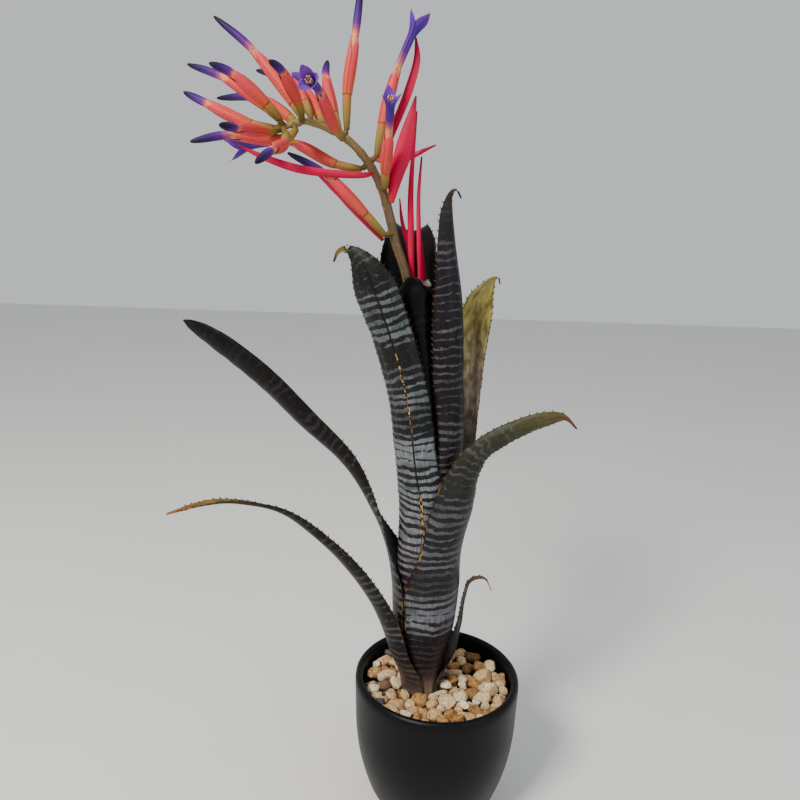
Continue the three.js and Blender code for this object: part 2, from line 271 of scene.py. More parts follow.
pot = {
    "outside": [        # radius and height
        (34, 0), (36.4, 2), (41, 9), (47, 18), (52.4, 33), (56.2, 48), (58.6, 66), (59.4, 86), (60, 103),
    ],
    "outsideSteps": 40,
    "rim": [(59.6, 106), (58.3, 107.6), (57.2, 108), (56, 107.6), (54.9, 106.2)],
    "inside": [(54.5, 104), (54.2, 88), (53.2, 68), (50.6, 46), (45.5, 26), (39.5, 14), (29, 7)],
    "insideSteps": 32,
    "sides": 144,
    "seam": 0.001,
    "drains": 3,
    "drainRadius": 5,
    "drainCircle": 18,
    "drainSides": 32,
    "drillLength": 40,
    "glaze": "07080a",
    "glazeWorn": "0c0d10",
    "speckle": "1c1d20",
}


def potGlaze():
    material, tree, shader = newMaterial("matt_charcoal_glaze", 0.36, 0.12)
    where = addNode(tree, "TexCoord", out="Object")
    # pooling of the glaze over a few centimetres, fine specks, and a faint orange-peel surface
    pooling = addNode(tree, "TexNoise", {"Scale": perMetre(36), "Detail": 3.0}, {"Vector": where})
    specks = addNode(tree, "TexVoronoi", {"Scale": perMetre(1.9)}, {"Vector": where})
    speckMask = addNode(tree, "ValToRGB", {"ramp": [(0.05, 0.5), (0.14, 0.0)]}, {"Fac": specks})
    peel = addNode(tree, "TexNoise", {"Scale": perMetre(1.1), "Detail": 2.0}, {"Vector": where})
    pooled = addNode(tree, "ValToRGB", {"ramp": [(0.4, 0.0), (0.75, 0.6)]}, {"Fac": pooling})
    base = mixColours(tree, pooled, pot["glaze"], pot["glazeWorn"])
    colour = mixColours(tree, speckMask, base, pot["speckle"])
    tree.links.new(colour, shader.inputs["Base Color"])
    rough = addNode(tree, "MapRange", {"To Min": 0.34, "To Max": 0.46}, {"Value": pooling})
    tree.links.new(rough, shader.inputs["Roughness"])
    bump = addNode(tree, "Bump", {"Strength": 0.12, "Distance": 0.0004}, {"Height": peel})
    tree.links.new(bump, shader.inputs["Normal"])
    return material


def buildPot():
    mesh = bmesh.new()
    outside = measured([(r, 0, z) for r, z in pot["outside"]], pot["outsideSteps"])[0]
    inside = measured([(r, 0, z) for r, z in pot["inside"]], pot["insideSteps"])[0]
    rim = [Vector((r, 0, z)) for r, z in pot["rim"]]
    line = [Vector((0, 0, 0))] + outside + rim + inside + [Vector((0, 0, inside[-1].z))]
    verts = [mesh.verts.new(p) for p in line]
    edges = [mesh.edges.new(pair) for pair in zip(verts, verts[1:])]
    bmesh.ops.spin(mesh, geom=verts + edges, cent=(0, 0, 0), axis=(0, 0, 1), angle=2 * math.pi,
                   steps=pot["sides"], use_merge=True)
    bmesh.ops.remove_doubles(mesh, verts=mesh.verts[:], dist=pot["seam"])
    bmesh.ops.dissolve_degenerate(mesh, edges=mesh.edges[:], dist=pot["seam"] / 4)
    for face in mesh.faces:
        face.smooth = True
    piece = finishPiece(mesh, "glazed_pot", [potGlaze()], ["pot"])
    drill = bmesh.new()
    for i in range(pot["drains"]):
        angle = math.radians(90 + 360 / pot["drains"] * i)
        centre = Vector((math.cos(angle), math.sin(angle), 0)) * pot["drainCircle"] * mm
        bmesh.ops.create_cone(drill, cap_ends=True, segments=pot["drainSides"],
                              radius1=pot["drainRadius"] * mm, radius2=pot["drainRadius"] * mm,
                              depth=pot["drillLength"] * mm, matrix=Matrix.Translation(centre))
    cutterData = bpy.data.meshes.new("drill")
    drill.to_mesh(cutterData)
    drill.free()
    cutter = bpy.data.objects.new("drill", cutterData)
    bpy.context.scene.collection.objects.link(cutter)
    cut = piece.modifiers.new("drains", "BOOLEAN")
    cut.object = cutter
    cut.solver = "EXACT"
    bpy.context.view_layer.update()
    holed = bpy.data.meshes.new_from_object(piece.evaluated_get(bpy.context.evaluated_depsgraph_get()))
    piece.modifiers.clear()
    piece.data = holed
    holed.name = piece.name
    bpy.data.objects.remove(cutter)


buildPot()
print("pot built")


# soil: bark and coir potting mix, dark and crumbly

soil = {"bark": "1c140e", "coir": "4a3827"}


def pottingMix():
    material, tree, shader = newMaterial("bark_potting_mix", 0.95, 0.2)
    where = addNode(tree, "TexCoord", out="Object")
    # crumbs of about 4 mm, each a little different, and lighter coir fibre in patches
    crumbs = addNode(tree, "TexVoronoi", {"Scale": perMetre(4)}, {"Vector": where}, out="Color")
    tone = addNode(tree, "TexNoise", {"Scale": perMetre(6), "Detail": 4.0}, {"Vector": where})
    patches = addNode(tree, "ValToRGB", {"ramp": [(0.35, 0.0), (0.7, 1.0)]}, {"Fac": tone})
    mixed = mixColours(tree, patches, soil["bark"], soil["coir"])
    colour = mixColours(tree, 0.25, mixed, crumbs, "OVERLAY")
    tree.links.new(colour, shader.inputs["Base Color"])
    bump = addNode(tree, "Bump", {"Strength": 0.9, "Distance": 0.0015}, {"Height": tone})
    tree.links.new(bump, shader.inputs["Normal"])
    return material


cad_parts["soil"].data.materials.clear()
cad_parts["soil"].data.materials.append(pottingMix())
print("soil dressed")


# gravel: 150 broken, slightly tumbled stones, about 7 to 15 mm across

gravel = {
    "count": 150,
    "smallest": 3.6,      # half sizes
    "largest": 7.2,
    "heap": 3.5,          # how far the highest stones rise over the bed
    "bedRadius": 53.2,
    "crown": (-12, 0),    # where the plant stands, how wide it is there and how much it flares
    "crownRadius": 12.2,
    "crownFlare": 4.0,
    "loose": 16,          # stones start at up to this height over the bed's floor
    "sink": 0.12,         # how far they drop in each round
    "nest": 0.9,          # how near two of them come, as a share of their half sizes
    "rounds": 160,
    "seed": 11,
    "faces": 12,          # broken faces on each, how deep they lie, and how flat they are
    "faceDepth": (0.52, 0.84),
    "flatness": 0.88,
    "stretch": [(0.95, 1.3), (0.8, 1.0), (0.68, 0.92)],
    "lumps": [(1.4, 0.14), (3.6, 0.05)],
    "colours": [(0.0, "efe2ca"), (0.2, "e0c79a"), (0.4, "c8a470"), (0.56, "d6b488"), (0.7, "ab8350"),
                (0.84, "b88850"), (0.94, "85603c"), (0.98, "6b645c"), (1.0, "57524c")],
}


def crownRadiusAt(z):
    above = 6
    flare = smooth(gravelLow.z / mm, gravelHigh.z / mm + above, z)
    return gravel["crownRadius"] + gravel["crownFlare"] * flare


# Stones are pulled down, pressed apart and kept in the bed, round after round.
def settleStones(draw):
    floor = gravelLow.z / mm
    crown = Vector((*gravel["crown"], 0))
    stones = []
    while len(stones) < gravel["count"]:
        r = lerp(gravel["smallest"], gravel["largest"], draw.random() ** 1.3)
        angle = draw.uniform(0, 2 * math.pi)
        out = math.sqrt(draw.random()) * (gravel["bedRadius"] - r)
        height = draw.uniform(floor + r, floor + gravel["loose"])
        spot = Vector((out * math.cos(angle), out * math.sin(angle), height))
        if (Vector((spot.x, spot.y, 0)) - crown).length > crownRadiusAt(spot.z) + r * 0.8:
            stones.append([spot, r])
    for _ in range(gravel["rounds"]):
        for i, (a, ra) in enumerate(stones):
            a.z -= gravel["sink"]
            for b, rb in stones[i + 1:]:
                apart = a - b
                close = (ra + rb) * gravel["nest"] - apart.length
                if close > 0:
                    push = apart.normalized() * close * 0.45
                    a += push
                    b -= push
        for a, r in stones:
            level = Vector((a.x, a.y, 0))
            furthest = gravel["bedRadius"] - r * 0.9
            if level.length > furthest:
                level = level.normalized() * furthest
            off = level - crown
            nearest = crownRadiusAt(a.z) + r * 0.75
            if off.length < nearest:
                level = crown + off.normalized() * nearest
            a.x, a.y = level.x, level.y
            a.z = min(max(a.z, floor + r * 0.7), gravelHigh.z / mm + gravel["heap"] - r * 0.8)
    return stones


# Dry, dusty stone: each one its own tint from cream to ochre and grey, with hardly any shine.
def stoneColours():
    material, tree, shader = newMaterial("dry_quartz_and_sandstone_gravel", 0.85, 0.3)
    where = addNode(tree, "TexCoord", out="Object")
    tint = addNode(tree, "Attribute", {"attribute_name": "stone"}, out="Fac")
    base = addNode(tree, "ValToRGB", {"ramp": gravel["colours"]}, {"Fac": tint})
    # grain of a millimetre and finer, and rusty veins and stains some millimetres apart
    grain = addNode(tree, "TexNoise", {"Scale": perMetre(1.4), "Detail": 5.0, "Roughness": 0.65},
                    {"Vector": where})
    veins = addNode(tree, "TexNoise", {"Scale": perMetre(6.5), "Detail": 4.0, "Distortion": 1.5},
                    {"Vector": where})
    veinMask = addNode(tree, "ValToRGB", {"ramp": [(0.54, 0.0), (0.68, 0.6)]}, {"Fac": veins})
    rusty = mixColours(tree, veinMask, base, "8f5a2c", "MULTIPLY")
    grainMask = addNode(tree, "ValToRGB", {"ramp": [(0.34, "7c6c56"), (0.62, "ffffff")]}, {"Fac": grain})
    colour = mixColours(tree, 0.75, rusty, grainMask, "MULTIPLY")
    tree.links.new(colour, shader.inputs["Base Color"])
    height = mixColours(tree, 0.5, grain, veins)
    bump = addNode(tree, "Bump", {"Strength": 0.8, "Distance": 0.0011}, {"Height": height})
    tree.links.new(bump, shader.inputs["Normal"])
    return material


def buildGravel():
    draw = random.Random(gravel["seed"])
    mesh = bmesh.new()
    stoneLayer = mesh.verts.layers.float.new("stone")
    for spot, r in settleStones(draw):
        made = bmesh.ops.create_icosphere(mesh, subdivisions=3, radius=1.0)["verts"]
        tint = draw.random()
        seed = Vector((draw.uniform(-90, 90), draw.uniform(-90, 90), draw.uniform(-90, 90)))
        cuts = [(Vector((draw.gauss(0, 1), draw.gauss(0, 1), draw.gauss(0, 1))).normalized(),
                 draw.uniform(*gravel["faceDepth"])) for _ in range(gravel["faces"])]
        stretch = [draw.uniform(*span) for span in gravel["stretch"]]
        turn = Matrix.Rotation(draw.uniform(0, 6.28), 4, "Z")
        turn = turn @ Matrix.Rotation(draw.uniform(-0.5, 0.5), 4, "X")
        for v in made:
            p = v.co.copy()
            for normal, depth in cuts:          # flat broken faces with softened edges
                over = p.dot(normal) - depth
                if over > 0:
                    p -= normal * over * gravel["flatness"]
            p *= 1 + sum(high * noise.noise(p * often + seed) for often, high in gravel["lumps"])
            p = turn @ Vector([p[i] * stretch[i] for i in range(3)])
            v.co = spot + p * r
            v[stoneLayer] = tint
    for face in mesh.faces:
        face.smooth = True
    finishPiece(mesh, "gravel_stones", [stoneColours()], ["gravel"])


buildGravel()
print("gravel laid")


# sheets and tubes that the plant is made of

# A thin closed sheet. surface(u, w) gives a point and the way its upper side faces, and
# half(u, w) half the thickness there. Its map is size wide and long, with the middle line a
# little way in; the two sides take the two slots.
def addSheet(mesh, across, up, surface, half, size, slots):
    middleAt = 0.1
    spots = {}

    def spotAt(u, w):
        key = (round(u * across), round(w * up))
        if key not in spots:
            spots[key] = surface(u, w)
        return spots[key]

    def placeOn(side):
        def place(u, w):
            point, facing = spotAt(u, w)
            return point + facing * side * half(u, w)
        return place

    def uvOf(u, w):
        return (middleAt + (u - 0.5) * size[0] * mm, w * size[1] * mm)

    top = addGrid(mesh, across, up, placeOn(1), uvOf, slots[0])
    under = addGrid(mesh, across, up, placeOn(-1), uvOf, slots[1])
    bmesh.ops.reverse_faces(mesh, faces=list({f for v in under for f in v.link_faces}))
    rims = list({e for v in top + under for e in v.link_edges if e.is_boundary})
    bridge = bmesh.ops.bridge_loops(mesh, edges=rims)["faces"]
    uvLayer = mesh.loops.layers.uv.verify()
    placeLayer = mesh.verts.layers.float_vector["place"]
    for face in bridge:
        face.smooth = True
        face.material_index = slots[0]
        for loop in face.loops:
            loop[uvLayer].uv = uvOf(loop.vert[placeLayer].x, loop.vert[placeLayer].y)


# A round stem along points; radiusAt(w, turn) may bulge or rib, and a radius of 0 closes an end.
def addTube(mesh, points, radiusAt, sides, steps, slotIndex):
    weld = 0.004
    frames, length = framesAlong(points, steps)

    def place(u, w):
        centre, along, side, up = frames[round(w * steps)]
        turn = 2 * math.pi * u
        return centre + (side * math.cos(turn) + up * math.sin(turn)) * radiusAt(w, turn)

    girth = 2 * math.pi * radiusAt(0.5, 0)
    made = addGrid(mesh, sides, steps, place, lambda u, w: (u * girth * mm, w * length * mm), slotIndex)
    bmesh.ops.remove_doubles(mesh, verts=made, dist=weld)


# The way from the middle of what a mesh holds to the middle of a CAD node.
def seatShift(mesh, node):
    low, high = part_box(node)
    own = [(min(v.co[i] for v in mesh.verts) + max(v.co[i] for v in mesh.verts)) / 2 for i in range(3)]
    return (low + high) / 2 / mm - Vector(own)


def shiftAll(mesh, by):
    bmesh.ops.translate(mesh, vec=by, verts=mesh.verts[:])


# scape: the woody flower stalk that climbs inside the tube and bends over as a zigzag rachis

scape = {
    "line": [
        (-12, 0, 70), (-12, 0, 88), (-13, 0, 125), (-16, 0, 190), (-21, 0, 270), (-26, 0, 335),
        (-31, 0, 391), (-39.5, 0, 416), (-43.5, -1, 431), (-48.5, -2, 447), (-55, -5, 459), (-63, -9, 469),
        (-72, -13, 476), (-84, -17, 481), (-95, -21, 483), (-108, -26, 478),
    ],
    "foot": 6.0,
    "neck": 4.0,
    "rachis": 3.0,
    "end": 1.7,
    "bendAt": 0.8,
    "nodeSpacing": 0.0245,    # one swelling at each flower's foot on the bent part
    "swelling": 0.16,
    "ribs": 5,
    "ribHeight": 0.03,
    "sides": 18,
    "steps": 240,
    "colours": [(0.0, "3a2f1b"), (0.6, "453d1e"), (0.78, "4e4020"), (0.86, "634826"), (0.94, "77632e"),
                (1.0, "857634")],
    "blush": "6b3a28",
    "scurf": "b8ae8c",
}


def stalkSkin():
    material, tree, shader = newMaterial("waxy_flower_stalk", 0.42, 0.5)
    where = addNode(tree, "TexCoord", out="Object")
    place = addNode(tree, "Attribute", {"attribute_name": "place"}, out="Vector")
    up = addNode(tree, "SeparateXYZ", links={"Vector": place}, out="Y")
    base = addNode(tree, "ValToRGB", {"ramp": scape["colours"]}, {"Fac": up})
    # reddish blush on one side and pale mealy scurf left from the bud
    blush = addNode(tree, "TexNoise", {"Scale": perMetre(18), "Detail": 3.0}, {"Vector": where})
    blushMask = addNode(tree, "ValToRGB", {"ramp": [(0.45, 0.0), (0.75, 0.55)]}, {"Fac": blush})
    scurf = addNode(tree, "TexNoise", {"Scale": perMetre(1.6), "Detail": 3.0}, {"Vector": where})
    scurfMask = addNode(tree, "ValToRGB", {"ramp": [(0.6, 0.0), (0.74, 0.25)]}, {"Fac": scurf})
    blushed = mixColours(tree, blushMask, base, scape["blush"])
    colour = mixColours(tree, scurfMask, blushed, scape["scurf"])
    tree.links.new(colour, shader.inputs["Base Color"])
    bump = addNode(tree, "Bump", {"Strength": 0.25, "Distance": 0.0004}, {"Height": scurf})
    tree.links.new(bump, shader.inputs["Normal"])
    return material


def buildScape():
    def radiusAt(w, turn):
        if w <= 0 or w >= 1:
            return 0
        bend = scape["bendAt"]
        if w < bend:
            r = lerp(scape["neck"], scape["rachis"], w / bend)
        else:
            r = lerp(scape["rachis"], scape["end"], (w - bend) / (1 - bend))
        r = lerp(scape["foot"], r, smooth(0.025, 0.05, w))
        joint = math.cos(2 * math.pi * w / scape["nodeSpacing"])
        r *= 1 + scape["swelling"] * smooth(bend - 0.04, bend + 0.02, w) * max(joint, 0) ** 3
        return r * (1 + scape["ribHeight"] * math.cos(scape["ribs"] * turn))

    mesh = bmesh.new()
    addTube(mesh, scape["line"], radiusAt, scape["sides"], scape["steps"], 0)
    shiftAll(mesh, seatShift(mesh, "scape"))
    finishPiece(mesh, "flower_stalk", [stalkSkin()], ["scape"])


buildScape()
print("flower stalk grown")


# leaves: stiff curled straps, dark with silver cross bands of scurf outside, spiny at the margins.
# Each starts as a sheath round the plant's axis, at an angle from +X, up to sheathTop; its blade
# follows stations of [x, y, z, half width, curl radius, twist]. rank is 0 innermost, 1 outermost,
# and wrap is half the angle that the sheath clasps.

leaf = {
    "plant": -12,
    "base": 88.4,
    "innerSheath": (5.4, 12, 190),    # radius at the foot, radius where it has opened, and that height
    "outerSheath": (13.4, 26, 170),
    "sheathLevels": [88.4, 105, 125, 150, 180, 210, 240],
    "across": 22,
    "up": 170,
    "midHalf": 0.42,          # half thickness at the middle and at the margin
    "edgeHalf": 0.16,
    "waves": 0.35,            # height of the waves all over, and of the tighter ones at the margin
    "frill": 0.4,
    "spinesFrom": 0.22,
    "spinesTo": 0.965,
    "spineEvery": 4.4,
    "spineLength": 2.3,
    "spineRadius": 0.55,
    "spineSides": 5,
    "spineRoot": 0.35,        # how deep a spine stands in the margin
}

leaves = {
    "leaf_left_low": {
        "angle": 218, "rank": 1, "wrap": 60, "sheathTop": 105,
        "blade": [
            (-31, -16, 128, 13, 17, 0), (-41, -20, 160, 12, 15, 5), (-58, -24, 191, 10, 12, 10),
            (-80, -29, 218, 8, 9, 15), (-108, -33, 241, 6, 7, 15), (-138, -36, 248, 5, 6, 10),
            (-160, -37, 246, 3.5, 5, 0), (-181, -38, 240, 1.2, 5, 0),
        ],
    },
    "leaf_small_dry": {
        "angle": 0, "rank": 1, "wrap": 48, "sheathTop": 105,
        "blade": [
            (12, 0, 126, 11, 22, 0), (16, 1, 150, 7, 18, 0), (18, 2, 169, 4.5, 12, 0),
            (22, 1, 181, 3, 8, 0), (31, 0, 183, 2, 6, 0), (36, -2, 175, 0.8, 5, 0),
        ],
    },
    "leaf_arching_right": {
        "angle": 305, "rank": 0.89, "wrap": 70, "sheathTop": 180,
        "blade": [
            (4, -20, 207, 22.5, 24, 4), (7, -24, 236, 20, 20, -8), (9, -26, 262, 13, 14, -25),
            (18, -28, 284, 8, 10, -45), (36, -30, 298, 7, 9, -55), (57, -30, 307, 6, 8, -55),
            (71, -30, 309, 4, 7, -55), (79, -30, 303, 1.2, 6, -55),
        ],
    },
    "leaf_left_long": {
        "angle": 168, "rank": 0.78, "wrap": 60, "sheathTop": 180, "spinesTo": 0.6,
        "blade": [
            (-39, 6, 204, 13, 18, 0), (-52, 8, 232, 10, 14, 30), (-69, 10, 262, 9, 12, 60),
            (-98, 13, 290, 9.5, 12, 75), (-130, 17, 320, 9.8, 14, 75), (-156, 20, 339.5, 9.2, 14, 75),
            (-172, 21.8, 350, 7, 13, 75), (-181, 22.6, 355.6, 3.6, 12, 75), (-185, 23, 358, 0.4, 12, 75),
        ],
    },
    "leaf_right_back": {
        "angle": 35, "rank": 0.67, "wrap": 55, "sheathTop": 240,
        "blade": [
            (14, 16, 274, 14, 20, 0), (14.5, 17, 312, 14, 18, 12), (15.5, 17.5, 350, 14, 17, 22),
            (17.5, 18, 366, 13, 17, 25), (19.5, 19, 378, 10.5, 16, 25), (23, 20, 387, 6, 13, 22),
            (27, 21, 393, 2.4, 9, 15), (30, 20, 394, 1, 8, 10), (31, 18, 390, 0.6, 6, 0),
        ],
    },
    "leaf_front_left": {
        "angle": 250, "rank": 0.56, "wrap": 62, "sheathTop": 240, "crease": 0.7, "creaseAt": -0.6,
        "blade": [
            (-23.5, -22.5, 268, 17.5, 18, 0), (-31, -25, 318, 17, 16, 0), (-43.5, -27, 360, 17, 16.5, 0),
            (-53, -28, 385, 16.5, 20, 0), (-58.5, -28, 399, 11, 16, 0), (-63.5, -26, 406.5, 5.5, 10, 0),
            (-68.5, -24, 410, 2.2, 6, 0), (-74, -22, 408.5, 1.4, 5, 0), (-77, -21, 402, 0.6, 5, 0),
        ],
    },
    "leaf_right_tall": {
        "angle": 318, "rank": 0.44, "wrap": 54, "sheathTop": 240,
        "blade": [
            (6.5, -12.5, 285, 15.5, 14, 0), (4, -13.5, 328, 18, 14, 0), (2.5, -14, 358, 18.5, 14, 0),
            (0.5, -13, 384, 16, 12.5, 0), (-4.5, -12, 417, 10, 9, 0), (-6.5, -11, 435, 6.5, 7, 0),
            (-6.5, -10, 444, 2.4, 6, 0), (-3, -8, 448, 1.3, 5, 0), (0.5, -7, 443, 0.6, 5, 0),
        ],
    },
    "leaf_back": {
        "angle": 90, "rank": 0.33, "wrap": 60, "sheathTop": 240,
        "blade": [
            (-16, 16, 300, 17, 16, 0), (-26, 17, 360, 20, 19, 0), (-30.5, 19, 398, 23, 22, 0),
            (-30, 21.5, 414, 20, 20, 0), (-29, 27, 423, 13, 16, 0), (-28.5, 34, 423, 6.5, 12, 0),
            (-28, 40, 417, 1.2, 8, 0),
        ],
    },
    "leaf_inner_left": {
        "angle": 190, "rank": 0.22, "wrap": 35, "sheathTop": 210,
        "blade": [
            (-28, -3, 270, 8, 14, 0), (-34, -4, 330, 7, 12, 0), (-40, -5, 387, 3, 10, 0),
        ],
    },
    "leaf_inner_front": {
        "angle": 268, "rank": 0.11, "wrap": 60, "sheathTop": 240,
        "blade": [
            (-15, -13, 290, 14, 13, 0), (-20, -13, 340, 13, 12, 0), (-24.5, -12, 368, 12.5, 13, 0),
            (-26, -11.5, 381, 12.5, 15, 0), (-25, -13, 389, 8, 12, 0), (-21, -16, 391.5, 3.4, 8, 0),
            (-16.5, -17.5, 389, 1, 6, 0),
        ],
    },
}

# How each leaf is coloured, foot to tip: its dark skin, how strong the silver bands are, and its inner
# side; in some leaves these ramps also hold painted shade and painted sheen, noted at each. period is the
# bands' spacing in millimetres, dry how much of it has browned, and line where across it a split runs.
leafLooks = {
    "leaf_left_low": {
        "skin": [(0.0, "8c7668"), (0.08, "4a3d38"), (0.2, "191716"), (0.75, "181611"), (0.88, "45351e"),
                 (1.0, "8a5a2c")],
        "strength": [(0.0, 0.3), (0.15, 0.4), (0.4, 0.3), (0.7, 0.1), (0.8, 0.0)],
        "bands": "6c6d70", "period": 5.4, "dry": 0.3, "margin": "8d6c32", "line": 0.4,
        "inside": [(0.0, "3b2f28"), (0.25, "2a251c"), (0.5, "4d4722"), (0.85, "786828"), (0.95, "8a5a2b"),
                   (1.0, "9c6834")],
    },
    "leaf_small_dry": {
        "skin": [(0.0, "3b2d26"), (0.55, "211a17"), (0.75, "2e221a"), (0.88, "6f4f30"), (1.0, "9c7646")],
        "strength": [(0.0, 0.2), (0.5, 0.2), (0.7, 0.0)],
        "bands": "5c5650", "period": 4.6, "dry": 0.6,
        "inside": [(0.0, "332620"), (0.6, "241b17"), (0.85, "6b4f32"), (1.0, "946e42")],
    },
    "leaf_arching_right": {
        "skin": [(0.0, "c8b2a2"), (0.05, "a8917f"), (0.085, "5c4a46"), (0.12, "32262a"), (0.25, "281f26"),
                 (0.5, "242226"), (0.65, "2e2e2b"), (0.82, "3e3f2c"), (0.93, "67643a"), (0.975, "8a5a34"),
                 (1.0, "4a2218")],
        "strength": [(0.0, 0.12), (0.205, 0.18), (0.24, 1.0), (0.335, 0.95), (0.355, 0.2), (0.4, 0.2),
                     (0.415, 0.85), (0.45, 0.62), (0.52, 0.58), (0.58, 0.45), (0.68, 0.3), (0.85, 0.2),
                     (0.95, 0.0)],
        "bands": "64686c", "period": 5.6, "dry": 0.25, "margin": "a0702f",
        "inside": [(0.0, "2c2622"), (0.45, "2d2d25"), (0.7, "555530"), (0.9, "84803e"), (0.97, "8a5a34"),
                   (1.0, "4a2218")],
    },
    "leaf_left_long": {
        "skin": [(0.0, "4c413b"), (0.2, "282021"), (0.5, "181414"), (0.96, "0f0e0f"), (1.0, "1c1613")],
        "strength": [(0.0, 0.5), (0.2, 0.7), (0.42, 0.62), (0.5, 0.3), (0.6, 0.12), (1.0, 0.0)],
        "bands": "66676a", "period": 6.2, "dry": 0.2, "margin": "66662c",
        "inside": [(0.0, "2c2622"), (0.5, "24221d"), (1.0, "1f1e1c")],
    },
    "leaf_right_back": {
        "skin": [(0.0, "3c332e"), (0.5, "2a2522"), (0.85, "3a3626"), (1.0, "7c6a3c")],
        "strength": [(0.0, 0.3), (0.5, 0.5), (0.9, 0.2)],
        "bands": "75736e", "period": 5.2, "dry": 0.25, "margin": "6f5c2e",
        # the pale grey-tan band of its inside, from 0.6 to 0.79, is partly the leaf's own tan and partly
        # painted sheen
        "inside": [(0.0, "3a302a"), (0.5, "463a33"), (0.6, "6e5f54"), (0.7, "a89888"), (0.79, "a89c7c"),
                   (0.87, "8f854c"), (0.95, "958a44"), (1.0, "5e4a2c")],
    },
    "leaf_front_left": {
        "skin": [(0.0, "7a675c"), (0.08, "5c4644"), (0.25, "482a34"), (0.38, "30222a"), (0.5, "1c1d20"),
                 (0.9, "1e221f"), (0.955, "2c2e26"), (0.972, "857840"), (0.99, "947f42"), (1.0, "0d0a08")],
        "strength": [(0.0, 0.3), (0.16, 0.45), (0.28, 0.7), (0.36, 1.0), (0.585, 1.0), (0.61, 0.32),
                     (0.645, 0.36), (0.66, 0.7), (0.7, 0.66), (0.715, 0.3), (0.76, 0.32), (0.78, 0.66),
                     (0.86, 0.56), (0.9, 0.36), (0.95, 0.22), (0.965, 0.0)],
        "bands": "6e7478", "period": 5.4, "dry": 0.15, "line": 0.56,
        "inside": [(0.0, "2c2622"), (0.6, "2f2f28"), (0.9, "4a4a2c"), (0.98, "947f42"), (1.0, "0d0a08")],
    },
    "leaf_right_tall": {
        # the lighter grey of its skin around 0.93, near the tip, is painted sheen
        "skin": [(0.0, "3c332f"), (0.35, "241e20"), (0.7, "18151a"), (0.86, "1e1c21"), (0.93, "2a292e"),
                 (0.97, "3c3228"), (0.985, "8c7448"), (1.0, "0f0c0a")],
        "strength": [(0.0, 0.3), (0.35, 0.8), (0.55, 0.62), (0.62, 0.4), (0.7, 0.54), (0.86, 0.46),
                     (0.93, 0.2), (0.97, 0.0)],
        "bands": "66626a", "period": 5.6, "dry": 0.08,
        "inside": [(0.0, "1c1817"), (0.8, "181415"), (0.96, "5c4c34"), (1.0, "0f0c0a")],
    },
    "leaf_back": {
        "skin": [(0.0, "3c332f"), (0.6, "252120"), (0.9, "221e1d"), (0.95, "4a3a2a"), (1.0, "7c6540")],
        "strength": [(0.0, 0.4), (0.5, 0.6), (0.95, 0.1)],
        "bands": "6f6e72", "period": 5.4, "dry": 0.2,
        # its near-black inside, below the tan dried tip, is painted shade
        "inside": [(0.0, "1d1718"), (0.7, "100c0e"), (0.955, "130f10"), (0.972, "34261c"),
                   (0.985, "7c6038"), (1.0, "5c4630")],
    },
    "leaf_inner_left": {
        # its near-black skin and inside are its own dark reddish purple, darkened further as painted shade
        # between the outer leaves
        "skin": [(0.0, "2e2626"), (0.8, "141112"), (1.0, "3a2c22")],
        "strength": [(0.0, 0.1), (1.0, 0.1)],
        "bands": "4a494d", "period": 4.8, "dry": 0.1,
        "inside": [(0.0, "141011"), (1.0, "120e10")],
    },
    "leaf_inner_front": {
        # its near-black skin and inside are painted shade deep in the tube; the pale grey tip is its own
        # curled edge
        "skin": [(0.0, "241c1e"), (0.6, "0c080c"), (0.93, "0a070b"), (0.97, "161214"), (0.985, "5c5450"),
                 (1.0, "7c736c")],
        "strength": [(0.0, 0.05), (0.9, 0.12), (1.0, 0.0)],
        "bands": "3c3742", "period": 4.8, "dry": 0.0,
        "inside": [(0.0, "141011"), (0.95, "120c12"), (0.985, "5c5450"), (1.0, "7c736c")],
    },
}


